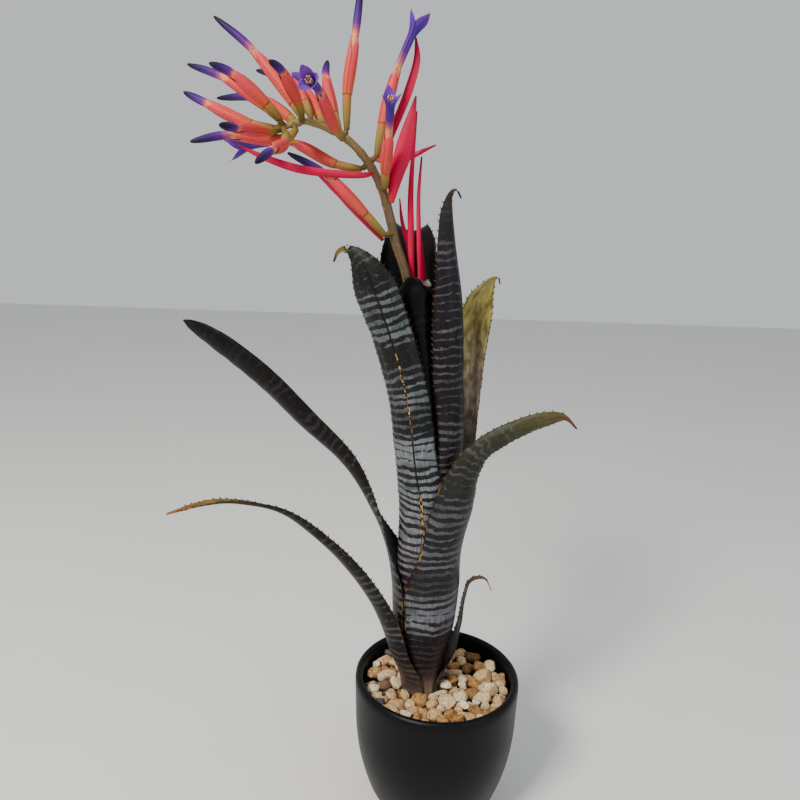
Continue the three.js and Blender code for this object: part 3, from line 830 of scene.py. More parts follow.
# Leathery skin: parallel veins 0.6 mm apart show as faint streaks, and the scurf lies in wavy
# bands across them, worn thin along the streaks. streaked takes its sizes in millimetres.
def leafOutside(name, look):
    material, tree, shader = newMaterial(name + "_banded_skin", 0.46, 0.14)
    uv = addNode(tree, "UVMap")
    place = addNode(tree, "Attribute", {"attribute_name": "place"}, out="Vector")
    up = addNode(tree, "SeparateXYZ", links={"Vector": place}, out="Y")
    across = addNode(tree, "SeparateXYZ", links={"Vector": place}, out="X")
    start = 0.07 * (sum(ord(c) for c in name) % 41)    # so that no two leaves carry the same pattern
    shifted = addNode(tree, "VectorMath", {"operation": "ADD", 1: (0.0, start, 0.0)}, {0: uv}, out="Vector")

    def streaked(wide, long, detail=2.0):
        stretched = addNode(tree, "Mapping", {"Scale": (perMetre(wide), perMetre(long), 1.0)},
                            {"Vector": shifted})
        return addNode(tree, "TexNoise", {"Scale": 1.0, "Detail": detail}, {"Vector": stretched})

    def masked(source, low, high, least=0.0, most=1.0):
        span = {"From Min": low, "From Max": high, "To Min": least, "To Max": most}
        return addNode(tree, "MapRange", {"interpolation_type": "SMOOTHSTEP", **span}, {"Value": source})

    def product(first, *others):
        for other in others:
            first = maths(tree, "MULTIPLY", first, other)
        return first

    # bands a few millimetres apart; whole zones of a few centimetres have broad or hardly any silver
    waveLength = 0.314    # of a wave texture at scale 1
    wave = {"bands_direction": "Y", "Scale": waveLength * perMetre(look["period"]), "Distortion": 7.5,
            "Detail": 2.5, "Detail Scale": 0.5, "Detail Roughness": 0.6}
    rings = addNode(tree, "TexWave", wave, {"Vector": shifted}, out="Fac")
    strength = addNode(tree, "ValToRGB", {"ramp": look["strength"]}, {"Fac": up})
    zones = masked(streaked(125, 16.67, 1.5), 0.36, 0.64, -0.3, 0.24)
    zones = maths(tree, "ADD", zones, masked(strength, 0.3, 1.0, -0.22, 0.3))
    ragged = masked(streaked(4.5, 1.9, 3.0), 0.3, 0.7, -0.2, 0.2)
    reach = maths(tree, "ADD", maths(tree, "ADD", rings, zones), ragged)
    ringMask = masked(reach, 0.46, 0.78)
    patchy = masked(streaked(16.7, 6.7, 3.0), 0.34, 0.56, 0.5, 1.0)
    veins = masked(streaked(0.6, 16.7), 0.36, 0.6, 0.45, 1.0)
    scurf = product(ringMask, patchy, veins, strength)

    skin = addNode(tree, "ValToRGB", {"ramp": look["skin"]}, {"Fac": up})
    cloud = streaked(8.3, 16.7, 4.0)
    mottle = addNode(tree, "ValToRGB", {"ramp": [(0.3, "625e5c"), (0.7, "c0bebc")]}, {"Fac": cloud})
    skin = mixColours(tree, 0.8, skin, mottle, "MULTIPLY")
    # pale hazy scurf between the bands too, thinner
    haze = product(masked(streaked(1.1, 11, 3.0), 0.45, 0.75), strength, 0.12)
    colour = mixColours(tree, haze, skin, look["bands"])
    colour = mixColours(tree, scurf, colour, look["bands"])
    # browned freckles and worn spots
    brown = product(masked(streaked(2.4, 6.2, 4.0), 0.64, 0.72), look["dry"])
    colour = mixColours(tree, brown, colour, "8d5c33")
    # the margin is horny and brown, dried to orange here and there
    side = maths(tree, "ABSOLUTE", maths(tree, "SUBTRACT", across, 0.5))
    margin = masked(side, 0.472, 0.492, 0.0, 0.85)
    dried = masked(streaked(5, 9, 3.0), 0.5, 0.66)
    edge = mixColours(tree, dried, "1a120e", look.get("margin", "3d2a1c"))
    colour = mixColours(tree, margin, colour, edge)
    if "line" in look:
        # a dark lengthwise line with golden specks where the skin has split
        wander = product(maths(tree, "SUBTRACT", streaked(1000, 71.4, 2.0), 0.5), 0.05)
        off = maths(tree, "SUBTRACT", maths(tree, "SUBTRACT", across, look["line"]), wander)
        off = maths(tree, "ABSOLUTE", off)
        along = product(masked(up, 0.34, 0.42), masked(up, 0.99, 0.93))
        split = product(masked(off, 0.022, 0.012), along)
        specks = mixColours(tree, masked(streaked(1.1, 3, 2.0), 0.5, 0.58), "0d0b0a", "b98a3e")
        fadedSpecks = mixColours(tree, masked(streaked(500, 33.3, 2.0), 0.48, 0.56), "0d0b0a", specks)
        colour = mixColours(tree, split, colour, fadedSpecks)
    tree.links.new(colour, shader.inputs["Base Color"])
    rough = addNode(tree, "MapRange", {"To Min": 0.36, "To Max": 0.6}, {"Value": scurf})
    tree.links.new(rough, shader.inputs["Roughness"])
    height = maths(tree, "ADD", product(veins, 0.5), scurf)
    bump = addNode(tree, "Bump", {"Strength": 0.3, "Distance": 0.0003}, {"Height": height})
    tree.links.new(bump, shader.inputs["Normal"])
    return material


# The channelled inner side has no scurf: smooth, with fine veins and dull blots.
def leafInside(name, look):
    material, tree, shader = newMaterial(name + "_smooth_inner_skin", 0.46, 0.22)
    uv = addNode(tree, "UVMap")
    place = addNode(tree, "Attribute", {"attribute_name": "place"}, out="Vector")
    up = addNode(tree, "SeparateXYZ", links={"Vector": place}, out="Y")
    lines = addNode(tree, "Mapping", {"Scale": (perMetre(0.67), perMetre(33), 1.0)}, {"Vector": uv})
    veins = addNode(tree, "TexNoise", {"Scale": 1.0, "Detail": 2.0}, {"Vector": lines})
    blots = addNode(tree, "Mapping", {"Scale": (perMetre(6.7), perMetre(9), 1.0)}, {"Vector": uv})
    mottle = addNode(tree, "TexNoise", {"Scale": 1.0, "Detail": 4.0}, {"Vector": blots})
    skin = addNode(tree, "ValToRGB", {"ramp": look["inside"]}, {"Fac": up})
    lineTint = addNode(tree, "ValToRGB", {"ramp": [(0.3, "a59e94"), (0.7, "ffffff")]}, {"Fac": veins})
    blotTint = addNode(tree, "ValToRGB", {"ramp": [(0.38, "6b5f4c"), (0.6, "ffffff")]}, {"Fac": mottle})
    lined = mixColours(tree, 0.6, skin, lineTint, "MULTIPLY")
    colour = mixColours(tree, 0.7, lined, blotTint, "MULTIPLY")
    tree.links.new(colour, shader.inputs["Base Color"])
    bump = addNode(tree, "Bump", {"Strength": 0.25, "Distance": 0.0003}, {"Height": veins})
    tree.links.new(bump, shader.inputs["Normal"])
    return material


# Horn, nearly black, with a little brown grain and a dull shine.
def spineHorn():
    material, tree, shader = newMaterial("horny_brown_spine", 0.5, 0.2)
    where = addNode(tree, "TexCoord", out="Object")
    grain = addNode(tree, "TexNoise", {"Scale": perMetre(1.1), "Detail": 2.0}, {"Vector": where})
    colour = mixColours(tree, grain, "0c0806", "2e1d13")
    tree.links.new(colour, shader.inputs["Base Color"])
    return material


def sheathRadius(z, rank):
    inner, outer = [lerp(foot, opened, smooth(leaf["base"], height, z))
                    for foot, opened, height in (leaf["innerSheath"], leaf["outerSheath"])]
    return lerp(inner, outer, rank)


# The leaf's surface(u, w) over its width and its true length, that length, and its widest.
def leafSurface(form, wobble):
    turn = math.radians(form["angle"])
    levels = [z for z in leaf["sheathLevels"] if z <= form["sheathTop"]]
    stations = []
    for z in levels:
        r = sheathRadius(z, form["rank"])
        stations.append((leaf["plant"] + r * math.cos(turn), r * math.sin(turn), z,
                         r * math.radians(form["wrap"]), r, 0))
    stations += form["blade"]
    middle = [s[:3] for s in stations]
    section = [s[3:] for s in stations]
    last = len(stations) - 1
    side = Vector((-math.sin(turn), math.cos(turn), 0))
    fine, near = 600, 0.004
    lengths = measured(middle, fine)[1]
    rows = {}

    def rowAt(w):
        target = w * lengths[-1]
        k = min(max(next((i for i, d in enumerate(lengths) if d >= target), fine), 1), fine)
        f = (target - lengths[k - 1]) / (lengths[k] - lengths[k - 1])
        t = (k - 1 + f) / fine
        point = throughPoints(middle, t)
        ahead, behind = throughPoints(middle, min(t + near, 1)), throughPoints(middle, max(t - near, 0))
        tangent = (ahead - behind).normalized()
        bladed = smooth(0, 1, (t * last - (len(levels) - 1)) / 0.6)
        along = Vector((0, 0, 1)).lerp(tangent, bladed).normalized()
        halfWidth, curl, twist = throughPoints(section, t)
        s = (side - along * side.dot(along)).normalized()
        s.rotate(Matrix.Rotation(math.radians(twist), 3, along))
        return point, s, s.cross(along), max(halfWidth, 0.25), curl, bladed

    def surface(u, w):
        if w not in rows:
            rows[w] = rowAt(w)
        point, s, n, halfWidth, curl, bladed = rows[w]
        x = 2 * u - 1
        a = x * halfWidth / curl
        raised = noise.noise(Vector((x * 1.2, w * 14, wobble))) * leaf["waves"]
        raised += noise.noise(Vector((x * 2, w * 40, wobble + 5))) * leaf["frill"] * bladed * abs(x) ** 3
        offCrease = (x - form.get("creaseAt", 0)) / 0.07
        raised -= form.get("crease", 0) * math.exp(-offCrease ** 2) * bladed
        out = n * math.cos(a) + s * math.sin(a)
        return point + n * (curl * math.cos(a) - curl) + s * (curl * math.sin(a)) + out * raised, out

    return surface, lengths[-1], max(s[3] for s in stations) * 2


# Spines point out and up along both margins; they are left off the clasping foot.
def addSpines(mesh, surface, length, last, draw):
    placeLayer = mesh.verts.layers.float_vector["place"]
    for u, inward in ((0.0, 0.04), (1.0, -0.04)):
        w = leaf["spinesFrom"]
        while w < last:
            edge, facing = surface(u, w)
            outward = (edge - surface(u + inward, w)[0]).normalized()
            ahead = (surface(u, min(w + 0.004, 1))[0] - edge).normalized()
            lean = outward + ahead * draw.uniform(0.5, 1.1) + facing * draw.uniform(-0.2, 0.2)
            lean.normalize()
            tall = leaf["spineLength"] * draw.uniform(0.7, 1.15)
            turned = Vector((0, 0, 1)).rotation_difference(lean).to_matrix().to_4x4()
            stand = Matrix.Translation(edge + lean * (tall / 2 - leaf["spineRoot"])) @ turned
            made = bmesh.ops.create_cone(mesh, cap_ends=True, segments=leaf["spineSides"],
                                         radius1=leaf["spineRadius"], radius2=0.03, depth=tall,
                                         matrix=stand)["verts"]
            for v in made:
                v[placeLayer] = Vector((u, w, 0))
            for face in {f for v in made for f in v.link_faces}:
                face.material_index = 2
            w += leaf["spineEvery"] / length * draw.uniform(0.75, 1.3)


def buildLeaf(name, form, horn):
    draw = random.Random(sum(ord(c) for c in name))
    surface, length, width = leafSurface(form, draw.uniform(0, 50))
    mesh = bmesh.new()

    def half(u, w):
        foot = smooth(0, 0.12, w)
        edge = abs(2 * u - 1) ** 2.2
        tip = smooth(1.0, 0.9, w)
        return lerp(leaf["midHalf"], leaf["edgeHalf"], max(edge, 1 - tip)) * lerp(0.6, 1, foot)

    addSheet(mesh, leaf["across"], leaf["up"], surface, half, (width, length), (0, 1))
    shift = seatShift(mesh, name)
    addSpines(mesh, surface, length, form.get("spinesTo", leaf["spinesTo"]), draw)
    shiftAll(mesh, shift)
    look = leafLooks[name]
    skins = [leafOutside(name, look), leafInside(name, look), horn]
    finishPiece(mesh, name + "_blade", skins, [name])


horn = spineHorn()
for name, form in leaves.items():
    buildLeaf(name, form, horn)
print(len(leaves), "leaves unfurled")


# bracts: thin crimson ribbons, keeled along the middle and drawn out to a point.
# Stations are [x, y, z, half width, the direction that the face looks to].

bracts = {
    "bract_sail": [
        (-43, -7, 439, 1.5, 270), (-41, -9, 454, 4.5, 270), (-36, -12, 471, 5.5, 265),
        (-30, -15, 500, 0.6, 260),
    ],
    "bract_ribbon": [
        (-52, 2, 464, 2, 250), (-46, 5, 479, 2.6, 250), (-35, 7, 507, 2.8, 255), (-30, 7, 526, 2.2, 260),
        (-31, 6, 538, 0.5, 260),
    ],
    "bract_upright": [
        (-23.6, 3.8, 340, 1, 270), (-28, 4, 388, 1.8, 270), (-30, 4, 420, 2.1, 270),
        (-31, 3, 450, 1.7, 270), (-29, -2, 494, 0.5, 270),
    ],
    "bract_slim": [
        (-20.5, 0, 345, 0.8, 270), (-23, 0, 388, 1.3, 270), (-25, 0, 420, 1.5, 270),
        (-26, 0, 444, 1.2, 270), (-25, 0, 468, 0.5, 270),
    ],
    "bract_left": [
        (-28, 5, 358, 0.8, 250), (-28, 8, 393, 1.2, 240), (-32, 9, 414, 1.8, 240), (-36, 8, 428, 1.4, 240),
        (-38, 7, 443, 0.4, 240),
    ],
    "bract_right": [
        (-21.5, 4, 350, 0.8, 280), (-20, 5, 388, 1.2, 280), (-22, 5, 405, 1.6, 280),
        (-24, 4, 422, 0.4, 280),
    ],
    "bract_swept": [
        (-58, -11, 455, 1.6, 270), (-71, -18, 454, 2.2, 270), (-97, -30, 455, 2.4, 275),
        (-116, -35, 460, 1.8, 280), (-131, -37, 466, 0.4, 280),
    ],
    "bract_under": [
        (-48, 4, 416, 1.6, 225), (-63, -1, 430, 2.6, 225), (-78, -6, 445, 2.6, 225),
        (-88, -10, 454, 1.8, 225), (-94, -13, 459, 0.4, 225),
    ],
    "bract_side": [
        (-39, 4, 451, 1.4, 290), (-34, 7, 467, 2, 290), (-27, 8, 471, 1.6, 290), (-16, 6, 476, 0.4, 290),
    ],
}

bract = {
    "across": 10,
    "up": 56,
    "keel": 0.35,
    "ripple": 0.25,
    "half": 0.26,             # half thickness at the middle and at the rim
    "edgeHalf": 0.1,
    "colours": [(0.0, "a83424"), (0.12, "bc0236"), (0.6, "c40242"), (0.9, "a80238"), (1.0, "540822")],
    # light: the paler tint of the long patches, partly bloom and partly painted pink highlight
    "light": "d8145a",
    "feet": {"bract_swept": (-54.2, -6.6, 457.6, 1.0, 270)},   # reaches round to the stalk
}


# Thin satiny tissue, full red with paler patches that are partly bloom and partly painted pink highlight,
# and fine veins from foot to tip.
def bractSkin():
    material, tree, shader = newMaterial("satin_crimson_bract", 0.55, 0.2)
    uv = addNode(tree, "UVMap")
    place = addNode(tree, "Attribute", {"attribute_name": "place"}, out="Vector")
    up = addNode(tree, "SeparateXYZ", links={"Vector": place}, out="Y")
    base = addNode(tree, "ValToRGB", {"ramp": bract["colours"]}, {"Fac": up})
    # lengthwise veins 0.4 mm apart, and paler long patches, partly bloom and partly painted pink highlight
    lines = addNode(tree, "Mapping", {"Scale": (perMetre(0.42), perMetre(28.6), 1.0)}, {"Vector": uv})
    veins = addNode(tree, "TexNoise", {"Scale": 1.0, "Detail": 2.0}, {"Vector": lines})
    bloomAndHighlightAt = addNode(tree, "Mapping", {"Scale": (perMetre(3.8), perMetre(16.7), 1.0)}, {"Vector": uv})
    bloomAndHighlight = addNode(tree, "TexNoise", {"Scale": 1.0, "Detail": 3.0}, {"Vector": bloomAndHighlightAt})
    bloomAndHighlightMask = addNode(tree, "ValToRGB", {"ramp": [(0.5, 0.0), (0.8, 0.45)]}, {"Fac": bloomAndHighlight})
    veinTint = addNode(tree, "ValToRGB", {"ramp": [(0.35, "c9a0aa"), (0.65, "ffffff")]}, {"Fac": veins})
    bloomedAndHighlighted = mixColours(tree, bloomAndHighlightMask, base, bract["light"])
    colour = mixColours(tree, 0.6, bloomedAndHighlighted, veinTint, "MULTIPLY")
    tree.links.new(colour, shader.inputs["Base Color"])
    bump = addNode(tree, "Bump", {"Strength": 0.25, "Distance": 0.0002}, {"Height": veins})
    tree.links.new(bump, shader.inputs["Normal"])
    return material


def buildBract(name, stations, skin):
    if name in bract["feet"]:
        stations = [bract["feet"][name]] + stations
    middle = [s[:3] for s in stations]
    wobble = sum(ord(c) for c in name) * 0.37
    near, narrowest = 0.01, 0.2

    def surface(u, w):
        x = 2 * u - 1
        point = throughPoints(middle, w)
        ahead, behind = throughPoints(middle, min(w + near, 1)), throughPoints(middle, max(w - near, 0))
        along = (ahead - behind).normalized()
        facing = math.radians(throughValues([s[4] for s in stations], w))
        halfWidth = max(throughValues([s[3] for s in stations], w), narrowest)
        n = Vector((math.cos(facing), math.sin(facing), 0))
        n = (n - along * n.dot(along)).normalized()
        s = along.cross(n)
        keel = abs(x) ** 1.3 * halfWidth * bract["keel"]
        wave = bract["ripple"] * noise.noise(Vector((x * 0.8, w * 9, wobble))) * abs(x)
        lean = (n + s * x * bract["keel"]).normalized()
        return point + s * x * halfWidth + n * (wave - keel), lean

    def half(u, w):
        return lerp(bract["half"], bract["edgeHalf"], max(abs(2 * u - 1) ** 3, smooth(0.85, 1, w)))

    size = (2 * max(s[3] for s in stations), measured(middle, 40)[1][-1])
    mesh = bmesh.new()
    addSheet(mesh, bract["across"], bract["up"], surface, half, size, (0, 0))
    lowest = Vector([min(v.co[i] for v in mesh.verts) for i in range(3)])
    shiftAll(mesh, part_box(name)[0] / mm - lowest)
    finishPiece(mesh, name + "_ribbon", [skin], [name])


bractMaterial = bractSkin()
for name, stations in bracts.items():
    buildBract(name, stations, bractMaterial)
print(len(bracts), "bracts hung")


# flowers: each runs from its foot on the rachis to the joint of ovary and sepals, the tips of
# the sepals and the tips of the petals. Open ones flare at the mouth by their open radius.

flowers = [
    {"line": [(-98, -18, 486), (-103, -16, 494), (-128, -10, 524), (-152, -5, 543)]},
    {"line": [(-110, -21, 483), (-120, -15, 492), (-148, -4, 510), (-172, 6, 519)]},
    {"line": [(-108, -30, 482), (-116, -35, 490), (-134, -43, 504), (-144, -48, 507)]},
    {"line": [(-96, -26, 486), (-98, -33, 492), (-105, -47, 505), (-110, -53, 508)]},
    {"line": [(-92, -17, 486), (-97, -8, 496), (-110, 12, 513), (-135, 34, 523)]},
    {"line": [(-101, -15, 482), (-106, -8, 487), (-131, 13, 502), (-160, 28, 504)]},
    {"line": [(-112, -25, 478), (-127, -24, 480), (-155, -20, 492), (-168, -16, 498)]},
    {"line": [(-110, -33, 475), (-115, -43, 473), (-127, -66, 471), (-131, -78, 470)]},
    {"line": [(-99, -25, 478), (-106, -29, 471), (-137, -38, 471), (-157, -43, 466)]},
    {"line": [(-104, -33, 474), (-104, -42, 467), (-107, -65, 460), (-111, -86, 451)]},
    {"line": [(-73, -18, 474), (-77, -29, 479), (-83, -55, 493), (-87, -76, 495)], "open": 6},
    {"line": [(-75, -9, 477), (-80, -1, 492), (-87, 14, 517), (-87, 24, 528)]},
    {"line": [(-71, -13, 479), (-71, -13, 501), (-67, -10, 533), (-64, -6, 564)]},
    {"line": [(-53, -6, 465), (-49.5, -4, 487), (-41.5, 0, 518), (-28, 5, 551)], "open": 6.5},
    {"line": [(-47, -9, 447), (-47, -14, 457), (-45, -26, 479), (-44, -42, 497)], "open": 5.5},
    {"line": [(-61, -5, 459), (-79, -3, 462), (-107, 1, 474), (-147, 4, 470)], "open": 7},
    {"line": [(-46, -6, 419), (-60, -11, 433), (-83, -19, 454), (-105, -26, 465)]},
    {"line": [(-85, -13, 483), (-88, -7, 488), (-101, 18, 510), (-106, 26, 519)], "open": 5},
]

flower = {
    "fine": 120,              # steps that a flower's line is measured in
    "foot": 1.6,              # radii
    "ovary": 2.7,
    "sepal": 3.5,
    "petal": 2.3,
    "petalFoot": 2.0,
    "pedicel": (2.3, 1.75),
    "sepalHalf": 0.24,
    "petalHalf": 0.14,
    "sheetAcross": 10,
    "sheetUp": 30,
    "sheetWidth": 7,
    "filament": 0.25,         # radii of the threads in an open flower and of what they carry
    "anther": 0.5,
    "style": 0.38,
    "stigma": 0.75,
    "ovaryColours": [(0.0, "6e5424"), (0.45, "80702e"), (0.8, "9c7034"), (1.0, "ac5634")],
    "sepalColours": [(0.0, "b86636"), (0.1, "c24c36"), (0.45, "c83c3e"), (0.82, "cc3c46"), (0.92, "d0665c"),
                     (0.965, "a85068"), (1.0, "32105a")],
    "petalColours": [(0.0, "dca050"), (0.22, "d88e58"), (0.3, "9c4668"), (0.4, "541a7c"), (0.62, "320c62"),
                     (0.84, "190734"), (1.0, "0a0412")],
    "openColours": [(0.0, "dca050"), (0.22, "d88e58"), (0.32, "a04e70"), (0.44, "501c80"), (0.75, "3e1780"),
                    (1.0, "6432a8")],
    "petalInside": [(0.0, "efe6c4"), (0.4, "b890cc"), (0.66, "7c46b8"), (1.0, "6232a8")],
    "pedicelColours": [(0.0, "5a4a26"), (1.0, "6c5426")],
    "antherColours": [(0.0, "d9902e"), (1.0, "f2c24a")],
    "filamentColours": [(0.0, "e8e0b8"), (1.0, "d8c8e8")],
}


# Fleshy, waxy tissue: fine lengthwise streaks, a soft bloom, and light that goes a little way in.
def waxyTissue(name, colours, roughness, streak=0.55):
    material, tree, shader = newMaterial(name, roughness, 0.25)
    place = addNode(tree, "Attribute", {"attribute_name": "place"}, out="Vector")
    uv = addNode(tree, "UVMap")
    where = addNode(tree, "TexCoord", out="Object")
    up = addNode(tree, "SeparateXYZ", links={"Vector": place}, out="Y")
    drift = addNode(tree, "TexNoise", {"Scale": perMetre(11), "Detail": 2.0}, {"Vector": where})
    shifted = maths(tree, "ADD", up, maths(tree, "MULTIPLY", maths(tree, "SUBTRACT", drift, 0.5), 0.18))
    base = addNode(tree, "ValToRGB", {"ramp": colours}, {"Fac": shifted})
    lines = addNode(tree, "Mapping", {"Scale": (perMetre(0.38), perMetre(16.7), 1.0)}, {"Vector": uv})
    veins = addNode(tree, "TexNoise", {"Scale": 1.0, "Detail": 2.0}, {"Vector": lines})
    tint = addNode(tree, "ValToRGB", {"ramp": [(0.3, "c2a8a0"), (0.65, "ffffff")]}, {"Fac": veins})
    colour = mixColours(tree, streak, base, tint, "MULTIPLY")
    tree.links.new(colour, shader.inputs["Base Color"])
    shader.inputs["Subsurface Weight"].default_value = 0.15
    shader.inputs["Subsurface Radius"].default_value = (0.003, 0.0012, 0.0008)
    shader.inputs["Subsurface Scale"].default_value = 0.4
    bump = addNode(tree, "Bump", {"Strength": 0.2, "Distance": 0.0002}, {"Height": veins})
    tree.links.new(bump, shader.inputs["Normal"])
    return material


# Three sheets round an axis, each spanning more than a third of the turn so that they overlap.
# radiusAt(w, x) is their distance from the axis, reachAt(w) half the angle that each spans.
def addWhorl(mesh, points, radiusAt, reachAt, halfAt, phase, slots):
    up = flower["sheetUp"]
    frames, length = framesAlong(points, up)
    for k in range(3):
        def surface(u, w, k=k):
            x = 2 * u - 1
            centre, along, side, lift = frames[round(w * up)]
            turn = phase + k * 2 * math.pi / 3 + x * reachAt(w)
            out = side * math.cos(turn) + lift * math.sin(turn)
            return centre + out * radiusAt(w, x), out
        addSheet(mesh, flower["sheetAcross"], up, surface, halfAt, (flower["sheetWidth"], length), slots)


def buildFlower(index, form, skins):
    number = str(index + 1).zfill(2)
    draw = random.Random(100 + index)
    fine = flower["fine"]
    dense, lengths = measured(form["line"], fine)
    total = lengths[-1]
    joint, mouth = lengths[fine // 3] / total, lengths[2 * fine // 3] / total

    def part(start, end, count=8):
        spots = []
        for i in range(count + 1):
            target = lerp(start, end, i / count) * total
            k = min(max(next(j for j, d in enumerate(lengths) if d >= target - 1e-6), 1), fine)
            f = (target - lengths[k - 1]) / (lengths[k] - lengths[k - 1])
            spots.append(dense[k - 1].lerp(dense[k], min(max(f, 0), 1)))
        return spots

    phase = draw.uniform(0, 2)
    ribs = draw.uniform(0, 1)

    def ovaryAt(w, turn):
        if w <= 0 or w >= 1:
            return 0
        body = lerp(flower["foot"], flower["ovary"], w) + 0.3 * math.sin(math.pi * w)
        return body * (1 + 0.045 * math.cos(6 * turn + ribs)) * (1 - 0.3 * smooth(0.93, 1, w))

    # the short stout foot that joins the ovary to the stalk
    def pedicelAt(w, turn):
        return 0 if w <= 0 or w >= 1 else lerp(*flower["pedicel"], smooth(0.1, 0.8, w))

    def sepalAt(w, x):
        swell = flower["ovary"] + (flower["sepal"] - flower["ovary"]) * math.sin(math.pi * w ** 0.85)
        return swell - 0.1 - 0.25 * smooth(0.6, 1, w) + 0.2 * x

    def sepalReach(w):
        return math.radians(74) * (1 - smooth(0.62, 1.02, w) ** 1.4) * lerp(0.95, 1, w) + 0.1

    def sepalHalf(u, w):
        return lerp(flower["sepalHalf"], 0.08, max(abs(2 * u - 1) ** 3, smooth(0.9, 1, w)))

    calyx = bmesh.new()
    addTube(calyx, part(0, joint), ovaryAt, 20, 16, 0)
    addWhorl(calyx, part(joint * 0.94, mouth), sepalAt, sepalReach, sepalHalf, phase, (1, 1))
    shift = seatShift(calyx, "calyx_" + number)
    foot = dense[0] + (dense[1] - dense[0]).normalized() * 1.2
    stalk = min(measured(scape["line"], 400)[0], key=lambda p: (p - foot).length)
    addTube(calyx, [stalk, stalk.lerp(foot, 0.5), foot], pedicelAt, 14, 8, 2)
    shiftAll(calyx, shift)
    finishPiece(calyx, "ovary_and_sepals_" + number, skins["calyx"], ["calyx_" + number])

    opening = form.get("open", 0)
    petalLine = part(lerp(joint, mouth, 0.72), 1)      # petals start well inside the sepals
    corolla = bmesh.new()

    def petalAt(w, x):
        if opening:
            flare = (opening * 1.1 - flower["petal"]) * smooth(0.6, 1.03, w) ** 1.5
            return lerp(flower["petalFoot"], flower["petal"], smooth(0.2, 0.6, w)) + 0.18 * x + flare
        past = max(w - 0.4, 0) / 0.61
        body = lerp(flower["petalFoot"], flower["petal"], smooth(0.2, 0.45, w)) * math.sqrt(1 - past * past)
        return body + 0.15 * x * (1 - smooth(0.7, 1, w))

    def petalReach(w):
        if opening:
            spread = math.radians(lerp(78, 50, smooth(0.76, 0.9, w)))
            return spread * (1 - 0.9 * smooth(0.84, 1, w) ** 1.2)
        return math.radians(88) * (1 - 0.45 * smooth(0.8, 1, w))

    def petalHalf(u, w):
        return lerp(flower["petalHalf"], 0.06, max(abs(2 * u - 1) ** 3, smooth(0.9, 1, w)))

    slots = (0, 1) if opening else (0, 0)
    addWhorl(corolla, petalLine, petalAt, petalReach, petalHalf, phase + math.pi / 3, slots)
    if opening:
        addStamens(corolla, petalLine, draw)
    shiftAll(corolla, shift)
    skin = skins["open" if opening else "closed"]
    finishPiece(corolla, "petals_" + number, skin, ["corolla_" + number])


# Six filaments with an anther each, and a style with its stigma, up to an open flower's mouth.
def addStamens(mesh, points, draw):
    stamens, steps = 6, 20
    frames = framesAlong(points, steps)[0]
    for k in range(stamens + 1):
        isStyle = k == stamens
        turn = k * math.pi / 3 + draw.uniform(-0.2, 0.2)
        spread, end, headSlot = (0.2, 19, 1) if isStyle else (1.5, 17, 2)
        thread = flower["style" if isStyle else "filament"]
        head = flower["stigma" if isStyle else "anther"]
        line = []
        for step in range(2, end + 1, 3):
            centre, along, side, lift = frames[step]
            out = side * math.cos(turn) + lift * math.sin(turn)
            line.append(centre + out * spread * (0.6 + 0.5 * step / steps))
        addTube(mesh, line, lambda w, a: 0 if w <= 0 or w >= 1 else thread, 6, 8, 3)
        along, tip = frames[end][1], line[-1]
        body = [tip - along * 1.2, tip + along * 0.2, tip + along * 1.8]
        addTube(mesh, body, lambda w, a: head * math.sin(math.pi * min(max(w, 0), 1)) ** 0.6,
                8, 8, headSlot)


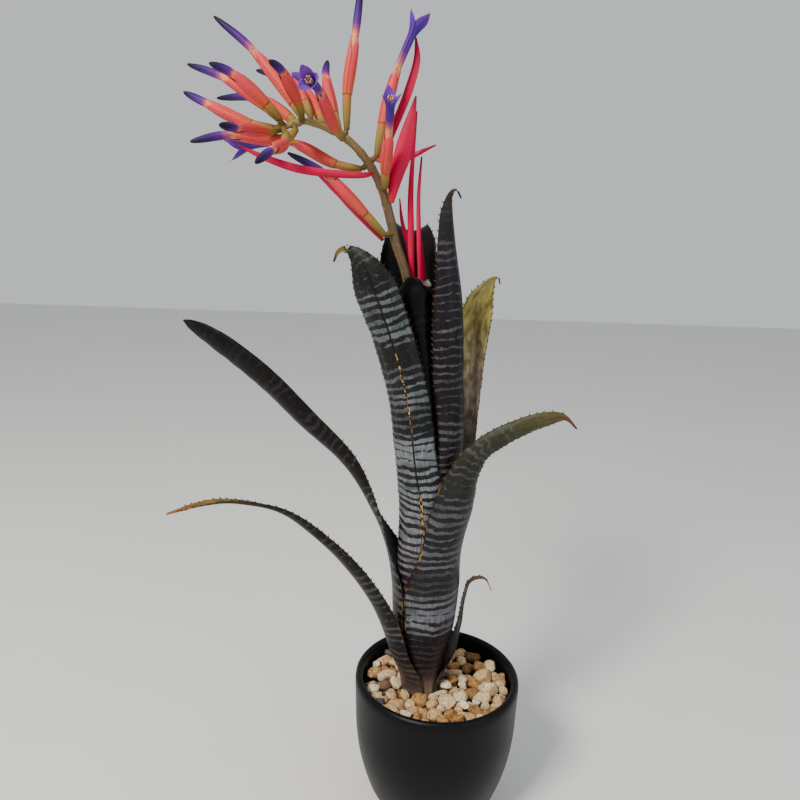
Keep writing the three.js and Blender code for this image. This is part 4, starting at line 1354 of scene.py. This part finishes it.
flowerSkins = {
    "calyx": [
        waxyTissue("fleshy_ovary", flower["ovaryColours"], 0.55),
        waxyTissue("waxy_coral_sepal", flower["sepalColours"], 0.55),
        waxyTissue("woody_flower_foot", flower["pedicelColours"], 0.6),
    ],
    "closed": [waxyTissue("dark_violet_petal", flower["petalColours"], 0.6)],
    "open": [
        waxyTissue("violet_petal", flower["openColours"], 0.6),
        waxyTissue("lilac_petal_inside", flower["petalInside"], 0.6, 0.4),
        waxyTissue("pollen_anther", flower["antherColours"], 0.8),
        waxyTissue("pale_filament", flower["filamentColours"], 0.5),
    ],
}
for index, form in enumerate(flowers):
    buildFlower(index, form, flowerSkins)
print(len(flowers), "flowers opened")


# stage: a plain pale floor and soft studio light from the upper left front

stage = {
    "floorSize": 8.0,
    "floorColour": "dadad8",
    "floorLight": "e2e2e0",
    "gap": 0.2,               # under the pot
    "world": "dfe2e4",
    "worldStrength": 0.85,
    "key": {
        "from": (-0.75, -0.95, 1.35), "to": (0, 0, 0.27), "size": 0.4, "power": 36.0, "colour": "fff8ef",
    },
    "fill": {
        "from": (1.1, -0.9, 0.7), "to": (0, 0, 0.25), "size": 1.2, "power": 6.0, "colour": "eef3ff",
    },
}


def addStage():
    floorMesh = bmesh.new()
    bmesh.ops.create_grid(floorMesh, x_segments=1, y_segments=1, size=stage["floorSize"] / 2)
    data = bpy.data.meshes.new("floor")
    floorMesh.to_mesh(data)
    floorMesh.free()
    material, tree, shader = newMaterial("matt_pale_floor", 0.9, 0.2)
    where = addNode(tree, "TexCoord", out="Object")
    tone = addNode(tree, "TexNoise", {"Scale": perMetre(250), "Detail": 3.0}, {"Vector": where})
    colour = mixColours(tree, tone, stage["floorColour"], stage["floorLight"])
    tree.links.new(colour, shader.inputs["Base Color"])
    data.materials.append(material)
    floor = bpy.data.objects.new("floor", data)
    floor.location.z = cadBox[0][2] - stage["gap"] * mm
    bpy.context.scene.collection.objects.link(floor)

    world = bpy.data.worlds.new("studio")
    world.use_nodes = True
    background = world.node_tree.nodes["Background"]
    background.inputs["Color"].default_value = toLinear(stage["world"])
    background.inputs["Strength"].default_value = stage["worldStrength"]
    bpy.context.scene.world = world

    for name in ("key", "fill"):
        lamp = stage[name]
        light = bpy.data.lights.new(name, "AREA")
        light.size = lamp["size"]
        light.energy = lamp["power"]
        light.color = toLinear(lamp["colour"])[:3]
        holder = bpy.data.objects.new(name, light)
        bpy.context.scene.collection.objects.link(holder)
        holder.location = lamp["from"]
        aim = Vector(lamp["to"]) - Vector(lamp["from"])
        holder.rotation_euler = aim.to_track_quat("-Z", "Y").to_euler()


addStage()
print("stage set")
